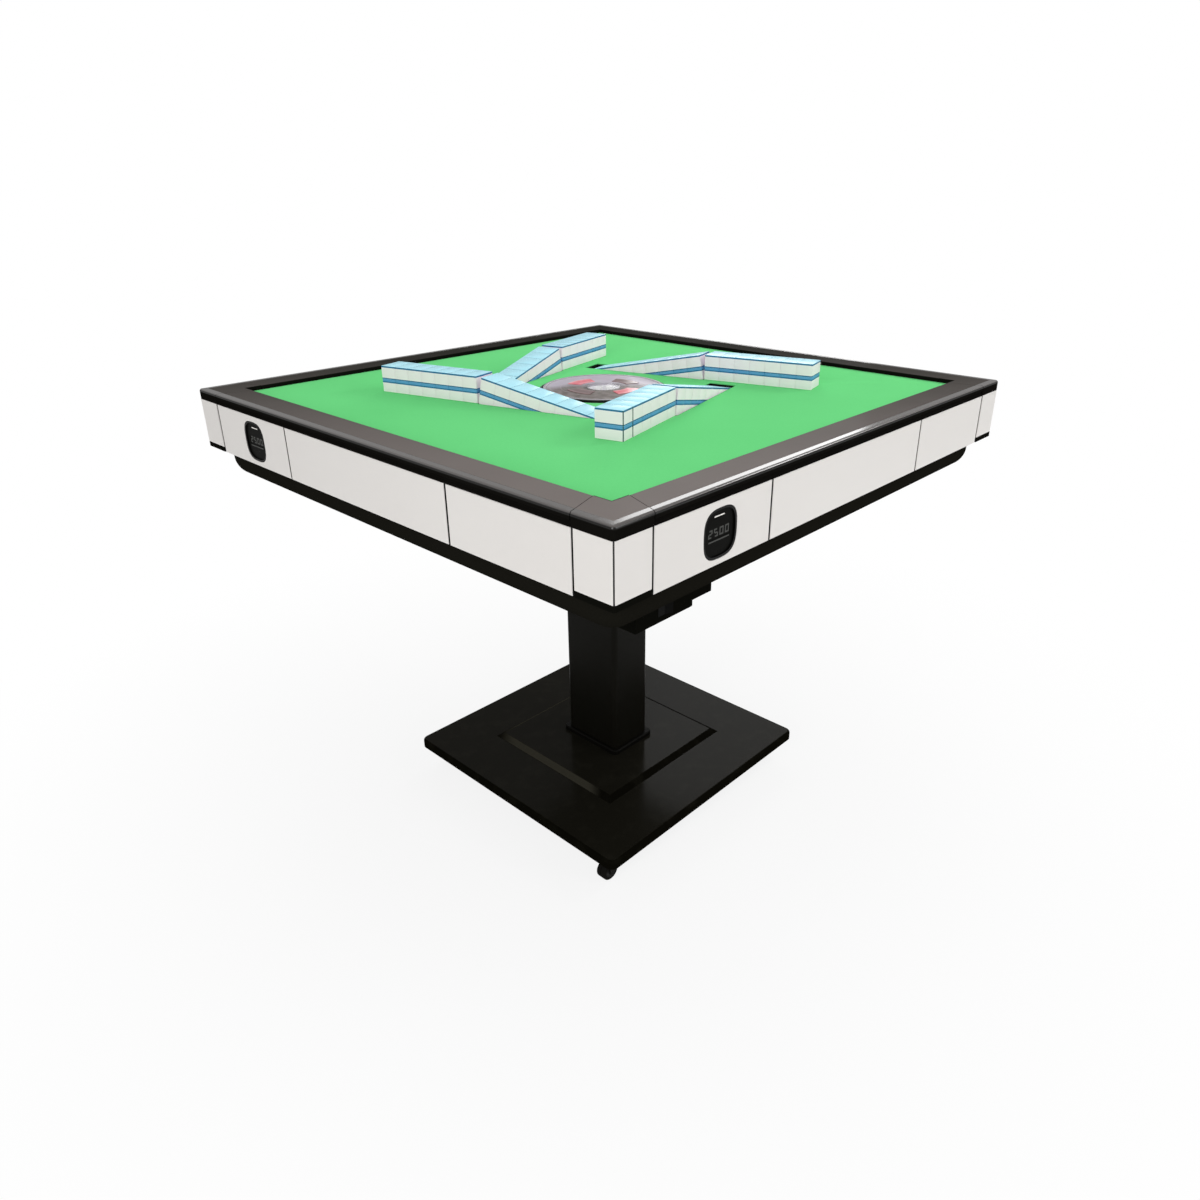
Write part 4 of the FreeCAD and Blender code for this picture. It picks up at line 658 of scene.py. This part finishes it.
def tile(start, level, marked):
    """One tile of a wall in the wall's frame: rounded outlines stacked from its face to its back,
    each pulled in where the edge rounds over. Marked upright edges, counted from the low x, low y one
    anticlockwise, are rounder and painted dark as shade in their seams. Returns points, faces and the
    layer of each face."""
    x = (start + TILE_GAP / 2, start + TILE_WIDE - TILE_GAP / 2)
    y = (WALL_MID - TILE_LONG / 2, WALL_MID + TILE_LONG / 2)
    low = CLOTH_TOP + level * TILE_HIGH
    high = low + TILE_HIGH
    soft = TILE_EDGE * (1 - math.sqrt(0.5))
    ends = [(0.0, high - depth) for depth, _ in reversed(LAYERS[level])]
    levels = [(TILE_EDGE, low), (soft, low + soft), (0.0, low + TILE_EDGE)] + ends
    levels += [(soft, high - soft), (TILE_EDGE, high)]
    radii = [MARKED_CORNER if k in marked else TILE_CORNER for k in range(4)]
    loops = []
    for inset, z in levels:
        ring = rounded_outline((x[0] + inset, x[1] - inset), (y[0] + inset, y[1] - inset),
                               [max(r - inset, LEAST_CORNER) for r in radii], 2)
        loops.append(np.column_stack([ring, np.full(len(ring), z)]))
    points, faces = stacked(loops)
    sides = [FOOT_AND_JOINT_SHADE[level]] * 3 + [colour for _, colour in reversed(LAYERS[level])] + [PALE]
    # Marked edges are painted dark: painted shade in the seams.
    dark = {3 * k + step for k in marked for step in (0, 1)}
    layer = [IVORY, PALE] + [SEAM_SHADE if j in dark and colour != PALE else colour for colour in sides
                             for j in range(len(loops[0]))]
    return points, faces, layer


def lowered(points):
    """Points of a closed ramp turned down about its hinge line to where it rests."""
    c, s = math.cos(RAMP_DROP), math.sin(RAMP_DROP)
    x, y, z = np.asarray(points, float).T
    x, z = x - BEND, z - HINGE_Z
    return np.stack([BEND + x * c + z * s, y, HINGE_Z - x * s + z * c], axis=-1)


# Upright edges of the level stacks that are rounder and painted dark as shade in their seams, by side
# and by place from the wall's free end.
SEAM_SHADE_EDGES = {("front", 0): (0, 1), ("front", 1): (0,)}


def wall(name, sides, first, counts, place, body, node):
    """The stacks of one part of these sides' walls as one piece: first gives a side's start along its
    wall, and place, if there is one, moves the points of a stack, which then has no edges painted dark."""
    blocks, layers = [], []
    for side in sides:
        for i in range(counts[side]):
            for level in (0, 1):
                marked = SEAM_SHADE_EDGES.get((side, i), ()) if place is None else ()
                points, faces, layer = tile(first(side) + i * TILE_WIDE, level, marked)
                points = points if place is None else place(points)
                blocks.append((from_wall(points, side), faces))
                layers += layer
    make(name, *joined(blocks), [ivory, blue, teal, pale_blue, tile_seam_shade], body, "tile_ivory", [node], layers)


wall("level_tile_stacks", SIDES, lambda side: BEND - LEVEL_STACKS[side] * TILE_WIDE, LEVEL_STACKS, None,
     "table", "level_tiles")
for side in SIDES:
    wall("ramp_tile_stacks_" + side, [side], lambda side: BEND + RAMP_START, {side: RAMP_STACKS}, lowered,
         "ramp_" + side, "ramp_tiles_" + side)


# ---------------------------------------------------------------- ramps
# Each ramp is a black moulded flap on a steel pin. It rests lowered in its slot and is turned up
# level with the cloth when a new wall is pushed onto the table.
ramp_plastic = speckled("ramp_plastic", tone(15, 17, 15), 0.5, 700.0, 0.0003, 0.1, specular=0.1)
for side in SIDES:
    dress(ramp_plastic, "tile_ramp_" + side)


# ---------------------------------------------------------------- centre console
# A round cup that rises from a black-lined well. A smoked cover lies in it inside a bright ring, with
# four keys and, under a low clear dome, two dice on a turning plate.
console_plastic = speckled("console_plastic", tone(18, 18, 17), 0.4, 700.0, 0.0003, 0.1, specular=0.2)
dress(console_plastic, "well_ring")
DICE_WELL = (0.0318, 0.0324)         # radii, from the well painted near white to the black cup


def housing_plastic(place):
    """Black moulded cup whose dice well, in its middle, is painted near white inside: a painted reflection
    that stands in for bright plating.
    """
    # The dice well is painted near white: a painted reflection, not a metal finish.
    painted_bright_well = 1.0 - place.from_centre().step(*DICE_WELL)
    cloud = place.noise(9.0)
    black = cloud.mix(tone(16, 16, 15), tone(20, 20, 19))
    return {"Base Color": painted_bright_well.mix(black, tone(240, 239, 242)),
            "Roughness": cloud * 0.1 + 0.3}


dress(finish("console_cup", {"Specular IOR Level": 0.2}, housing_plastic), "console_housing")

PRINTED_CIRCLES = [(0.0735, 0.0745), (0.0915, 0.0929)]     # inner and outer radius of each line
PRINTED_SOFT = 0.0002


def smoked(place):
    """Smoked acrylic over a printed disc: brown-grey and mottled over the half towards low x and y, and
    painted lighter lilac over the other half as a painted reflection, with fine turning marks and two
    thin pale circles."""
    x, y, radius = place.axis(0), place.axis(1), place.from_centre()
    marks = radius.waves(1400.0)
    cloud = place.noise(26.0, 4.0)
    mottle = place.noise(70.0, 5.0).step(0.3, 0.7)
    smoke = (mottle * 0.8 + marks * 0.2).mix(tone(96, 86, 80), tone(140, 132, 128))
    lilac = cloud.mix(tone(176, 168, 182), tone(202, 194, 206))
    # The half towards high x and y is painted lighter lilac: a painted reflection.
    half = ((x + y) * 0.7071 + radius.step(0.05, 0.1) * 0.03 + cloud * 0.02).step(0.0, 0.05)
    inner, outer = [radius.band(*ends, PRINTED_SOFT) for ends in PRINTED_CIRCLES]
    printed = (inner + outer) * 0.3
    return {"Base Color": printed.mix(half.mix(smoke, lilac), tone(206, 200, 204)),
            "Roughness": cloud * 0.05 + 0.26,
            "Alpha": cloud * 0.06 + 0.88}


cover_acrylic = finish("smoked_acrylic", {"Coat Weight": 0.05, "Coat Roughness": 0.05,
                                          "Specular IOR Level": 0.03}, smoked)
dress(cover_acrylic, "console_cover")


def clear(place):
    """Clear moulded acrylic, barely clouded."""
    cloud = place.noise(60.0)
    return {"Base Color": cloud.mix(tone(222, 224, 228), tone(240, 242, 246)),
            "Roughness": cloud * 0.04 + 0.03}


clear_acrylic = finish("clear_acrylic", {"Alpha": 0.12, "Coat Weight": 0.3, "Coat Roughness": 0.02}, clear)

KEY_MIDDLE = 0.054        # radius of the keys' middle line
KEY_GLOW = (0.002, 0.014)            # distances from that line


def key_plastic(name, low, high):
    """Translucent key cap, lighter towards its edges as light gathers there."""
    def paint(place):
        glow = (place.from_centre() - KEY_MIDDLE).math("ABSOLUTE").step(*KEY_GLOW)
        cloud = place.noise(90.0)
        return {"Base Color": (glow * 0.8 + cloud * 0.2).mix(low, high),
                "Roughness": cloud * 0.08 + 0.1,
                "Normal": place.noise(240.0).bump(0.05, 0.0002)}
    return finish(name, {"Specular IOR Level": 0.1}, paint)


red_key = key_plastic("red_key", tone(226, 96, 110), tone(246, 166, 172))
smoke_key = key_plastic("smoke_key", tone(108, 84, 82), tone(150, 124, 124))
for side in SIDES:
    dress(red_key if side in ("front", "back") else smoke_key, "console_key_" + side)

RING_TOP = (0.7708, 0.7713)          # heights, from the ring's black wall to its coated top


def pearl_top(place):
    """Pearl grey coat on top of a black ring: fine turning marks round the centre."""
    z = place.axis(2)
    marks = (place.from_centre() + z).waves(5200.0)
    pearl = marks.mix(tone(150, 142, 150), tone(172, 164, 172))
    return {"Base Color": z.step(*RING_TOP).mix(tone(12, 12, 11), pearl),
            "Roughness": marks * 0.08 + 0.2,
            "Normal": marks.bump(0.08, 0.0001)}


pearl_ring = finish("pearl_ring", {"Specular IOR Level": 0.3}, pearl_top)
ring_low, ring_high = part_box("console_ring")
RING_WIDE = 0.006
RING_ROUND = 0.0012
RING_COUNT = 128


def ring_profile(outer, width, low, high, round_top):
    """A flat ring's section with its two upper edges rounded."""
    turn = np.linspace(0.0, math.pi / 2, 4)
    inner = outer - width
    right = [(outer - round_top * (1 - math.cos(t)), high - round_top * (1 - math.sin(t)))
             for t in turn]
    left = [(inner + round_top * (1 - math.sin(t)), high - round_top * (1 - math.cos(t)))
            for t in turn]
    return [(inner, low), (outer, low)] + right + left


ring_section = ring_profile(ring_high.x, RING_WIDE, ring_low.z, ring_high.z, RING_ROUND)
ring_mesh = revolve(ring_section, RING_COUNT)
make("pearl_console_ring", *ring_mesh, [pearl_ring], "console", "ring_silver", ["console_ring"])

dome_low, dome_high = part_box("dice_dome")
DOME_RADIUS = 0.030
DOME_WALL = 0.0015
FLANGE_HIGH = 0.0012
FLANGE_BEVEL = 0.3        # share of the flange's height
POLE_RADIUS = 0.0004
DOME_STEPS = 14
DOME_COUNT = 72


def cap_height(radius, top, base, r):
    """Height at radius r of the ball that is as wide as radius at its base and reaches the top."""
    rise = top - base
    ball = (radius ** 2 + rise ** 2) / (2 * rise)
    return top - ball + np.sqrt(ball ** 2 - r ** 2)


def dome_profile():
    """Outside from the flange's edge up to the pole, and back down inside. Both poles stop a hair
    short of the axis, where the small holes are closed by flat faces."""
    out_r = np.linspace(DOME_RADIUS, POLE_RADIUS, DOME_STEPS)
    in_r = np.linspace(POLE_RADIUS, DOME_RADIUS - DOME_WALL, DOME_STEPS)
    base, top = dome_low.z, dome_high.z
    outside = list(zip(out_r, np.maximum(cap_height(DOME_RADIUS, top, base, out_r), base + FLANGE_HIGH)))
    inside = list(zip(in_r, cap_height(DOME_RADIUS - DOME_WALL, top - DOME_WALL, base, in_r)))
    return [(dome_high.x, base), (dome_high.x, base + FLANGE_HIGH * (1 - FLANGE_BEVEL)),
            (dome_high.x - FLANGE_HIGH * FLANGE_BEVEL, base + FLANGE_HIGH)] + outside, inside


def dome_mesh():
    """The dome's profile carried round. The faces that join its two poles are left out, and a flat
    face closes each pole."""
    outside, inside = dome_profile()
    points, faces = revolve(outside + inside, DOME_COUNT)
    n = len(outside) + len(inside)
    pole_out, pole_in = len(outside) - 1, len(outside)
    faces = [face for face in faces if {face[0] % n, face[3] % n} != {pole_out, pole_in}]
    faces.append([i * n + pole_out for i in range(DOME_COUNT)])
    faces.append([i * n + pole_in for i in reversed(range(DOME_COUNT))])
    return points, faces


make("clear_dice_dome", *dome_mesh(), [clear_acrylic], "console", "dome_clear", ["dice_dome"])

plate_enamel = speckled("plate_enamel", tone(246, 244, 248), 0.28, 500.0, 0.0002, 0.03)
dress(plate_enamel, "dice_plate")
steel_tube = speckled("ground_steel", tone(170, 170, 172), 0.22, 300.0, 0.0001, 0.08, metallic=1.0)
dress(steel_tube, "lift_tube")

# Two white dice with rounded edges and painted black pips.
dice_low, dice_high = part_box("dice")
DICE_SIZE = 0.010
DICE_PLACES = [(-0.008, 0.004, 20.0), (0.007, -0.006, 62.0)]
DICE_ROUND = 0.0012
DICE_LEAST_CORNER = 0.0003
PIP_RADIUS = 0.0009
PIP_PROUD = 0.00005
PIP_SIDES = 12
PIP_STEP = 0.0024
FOUR = [(-1, -1), (-1, 1), (1, -1), (1, 1)]
PIPS = {1: [(0, 0)], 2: [(-1, -1), (1, 1)], 3: [(-1, -1), (0, 0), (1, 1)], 4: FOUR, 5: FOUR + [(0, 0)],
        6: [(x, y) for x in (-1, 1) for y in (-1, 0, 1)]}
white_resin = finish("dice_resin", tile_fixed, resin(tone(240, 240, 238), tone(250, 250, 248), 0.18))
pip_paint = speckled("pip_paint", tone(24, 24, 26), 0.4, 900.0, 0.0001)


def die(x, y, angle, top):
    """A die as stacked rounded outlines, with pips on its top and two of its sides. Returns its points
    and faces, and the kind of each face: resin or paint."""
    half, r = DICE_SIZE / 2, DICE_ROUND
    turn = np.linspace(0.0, math.pi / 2, 4)
    low = [(r * (1 - math.sin(t)), -half + r * (1 - math.cos(t))) for t in turn]
    levels = low + [(inset, -z) for inset, z in reversed(low)]
    loops = []
    for inset, z in levels:
        side = half - inset
        corner = max(r - inset * 0.5, DICE_LEAST_CORNER)
        ring = rounded_outline((-side, side), (-side, side), [corner] * 4, 4)
        loops.append(np.column_stack([ring, np.full(len(ring), z)]))
    body = stacked(loops)
    pips = []
    for number, turned in ((top, Matrix.Identity(3)), (top % 6 + 1, Matrix.Rotation(math.pi / 2, 3, "X")),
                           ((top + 1) % 6 + 1, Matrix.Rotation(math.pi / 2, 3, "Y"))):
        for px, py in PIPS[number]:
            rim = circle(PIP_RADIUS, PIP_SIDES) + np.array([px, py]) * PIP_STEP
            rings = [np.column_stack([rim, np.full(PIP_SIDES, half + z)])
                     for z in (-PIP_RADIUS / 2, PIP_PROUD)]
            points, faces = stacked(rings)
            pips.append((points @ np.array(turned).T, faces))
    spin = np.array(Matrix.Rotation(math.radians(angle), 3, "Z"))
    offset = np.array([x, y, (dice_low.z + dice_high.z) / 2])
    parts = [(points @ spin.T + offset, faces) for points, faces in [body] + pips]
    kinds = [0] * len(body[1]) + [1] * sum(len(faces) for _, faces in pips)
    return joined(parts), kinds


die_a, kinds_a = die(*DICE_PLACES[0], 5)
die_b, kinds_b = die(*DICE_PLACES[1], 3)
make("pair_of_dice", *joined([die_a, die_b]), [white_resin, pip_paint], "dice_turntable", "dice_white",
     ["dice"], kinds_a + kinds_b)


# ---------------------------------------------------------------- lift drive and mixing pan
# Inside the tray: an aluminium casting guides the lift tube and carries the moulded pan, which a flat
# ring motor turns. A small geared motor hangs beside the sleeve in the column.
cast = speckled("cast_aluminium", tone(160, 160, 162), 0.45, 340.0, 0.0006, 0.15, metallic=1.0)
dress(cast, "lift_drive")
dress(speckled("motor_paint", tone(42, 42, 44), 0.4, 500.0, 0.0003), "drum_motor")
dress(speckled("pan_plastic", tone(104, 106, 108), 0.4, 500.0, 0.0004), "shuffle_drum")


# ---------------------------------------------------------------- power box
# The mains box under the tray is moulded in two depths. It has a black rocker in a pocket on its front
# and a three-pin mains inlet, moulded with it, in its end.
power_plastic = speckled("power_plastic", tone(14, 14, 11), 0.5, 700.0, 0.0005, 0.1, specular=0.0)
dress(power_plastic, "power_box")
rocker_black = speckled("rocker_black", tone(12, 12, 11), 0.3, 500.0, 0.0002, 0.1, specular=0.03)
dress(rocker_black, "rocker_switch")


# ---------------------------------------------------------------- floor, light and camera
# A plain pale floor that keeps the shadow, an even white surround, five soft lamps and the camera,
# a little above the table in front of its near corner.
FLOOR_HALF = 30.0
FLOOR_WHITENS = (0.4, 1.5)           # distances from the table's centre


def plain_floor():
    """Pale and matt; the camera sees it turn to plain white with distance from the table."""
    material = bpy.data.materials.new("pale_floor")
    material.use_nodes = True
    tree = material.node_tree
    tree.nodes.clear()
    place = Paint(tree, tree.nodes.new("ShaderNodeTexCoord").outputs["Object"])
    away = place.from_centre().step(*FLOOR_WHITENS)
    seen = Paint(tree, tree.nodes.new("ShaderNodeLightPath").outputs["Is Camera Ray"])
    matt = seen.node("BsdfDiffuse", {}, {"Color": (0.84, 0.84, 0.84, 1.0)})
    white = seen.node("Emission", {}, {"Color": (1.0, 1.0, 1.0, 1.0), "Strength": 1.0})
    mixed = seen.node("MixShader", {}, {0: seen * (away * 0.15 + 0.85), 1: matt, 2: white})
    output = tree.nodes.new("ShaderNodeOutputMaterial")
    tree.links.new(mixed.socket, output.inputs["Surface"])
    return material


floor_mesh = bpy.data.meshes.new("floor")
corners = [(x * FLOOR_HALF, y * FLOOR_HALF, 0.0) for x, y in ((-1, -1), (1, -1), (1, 1), (-1, 1))]
floor_mesh.from_pydata(corners, [], [[0, 1, 2, 3]])
floor_mesh.materials.append(plain_floor())
floor = bpy.data.objects.new("floor", floor_mesh)
bpy.context.scene.collection.objects.link(floor)
floor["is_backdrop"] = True

AMBIENT = 0.5
REFLECTED_LOW, REFLECTED_HIGH = 0.25, 0.85    # in mirrors, near the floor's line and overhead
REFLECTED_RISE = (-0.05, 0.55)                # height of a direction, from low to high
world = bpy.data.worlds.new("white_surround")
bpy.context.scene.world = world
world.use_nodes = True
tree = world.node_tree
tree.nodes.clear()
path = tree.nodes.new("ShaderNodeLightPath")
seen = Paint(tree, path.outputs["Is Camera Ray"])
mirrored = Paint(tree, path.outputs["Is Glossy Ray"])
through = Paint(tree, path.outputs["Is Transmission Ray"])
direction = Paint(tree, tree.nodes.new("ShaderNodeTexCoord").outputs["Generated"])
rise = direction.axis(2).step(*REFLECTED_RISE)
glossy = mirrored * (rise * (REFLECTED_HIGH - REFLECTED_LOW) + (REFLECTED_LOW - AMBIENT))
strength = seen * (1.0 - AMBIENT) + glossy + through * (1.0 - AMBIENT) + AMBIENT
surround = seen.node("Background", {}, {"Color": (1.0, 1.0, 1.0, 1.0), "Strength": strength})
world_output = tree.nodes.new("ShaderNodeOutputWorld")
tree.links.new(surround.socket, world_output.inputs["Surface"])

LAMP_AIM = Vector((0.0, 0.0, 0.6))


def soft_lamp(name, place, size, power):
    """A square lamp that faces the table."""
    data = bpy.data.lights.new(name, "AREA")
    data.shape = "SQUARE"
    data.size = size
    data.energy = power
    lamp = bpy.data.objects.new(name, data)
    lamp.visible_camera = False
    lamp.location = place
    lamp.rotation_euler = (LAMP_AIM - Vector(place)).to_track_quat("-Z", "Y").to_euler()
    bpy.context.scene.collection.objects.link(lamp)


soft_lamp("overhead_lamp", (0.3, 0.6, 3.2), 2.2, 14.0)
soft_lamp("left_lamp", (-3.0, -1.2, 1.8), 1.8, 40.0)
soft_lamp("right_lamp", (1.2, -3.2, 1.6), 1.8, 27.0)
soft_lamp("edge_lamp", (2.0, -1.25, 2.16), 0.6, 14.0)
soft_lamp("far_lamp", (2.33, 1.37, 1.80), 1.15, 15.0)

CAMERA_PLACE = (-1.0915, -1.0656, 1.0943)
CAMERA_HEADING, CAMERA_PITCH, CAMERA_ROLL = 0.75544, -0.42955, -0.00438     # radians, heading from +X
CAMERA_LENS = 26.615
CAMERA_SHIFT = (-0.01708, -0.01217)
camera_data = bpy.data.cameras.new("camera")
camera_data.lens = CAMERA_LENS
camera_data.shift_x, camera_data.shift_y = CAMERA_SHIFT
camera = bpy.data.objects.new("camera", camera_data)
level_ahead = math.cos(CAMERA_PITCH)
ahead = Vector((level_ahead * math.cos(CAMERA_HEADING), level_ahead * math.sin(CAMERA_HEADING),
                math.sin(CAMERA_PITCH)))
level_right = ahead.cross(Vector((0.0, 0.0, 1.0))).normalized()
level_up = level_right.cross(ahead)
right = math.cos(CAMERA_ROLL) * level_right + math.sin(CAMERA_ROLL) * level_up
up = right.cross(ahead)
turned = Matrix((right, up, -ahead)).transposed().to_4x4()
camera.matrix_world = Matrix.Translation(CAMERA_PLACE) @ turned
bpy.context.scene.collection.objects.link(camera)
bpy.context.scene.camera = camera
bpy.context.scene.view_settings.view_transform = "Standard"

low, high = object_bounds()
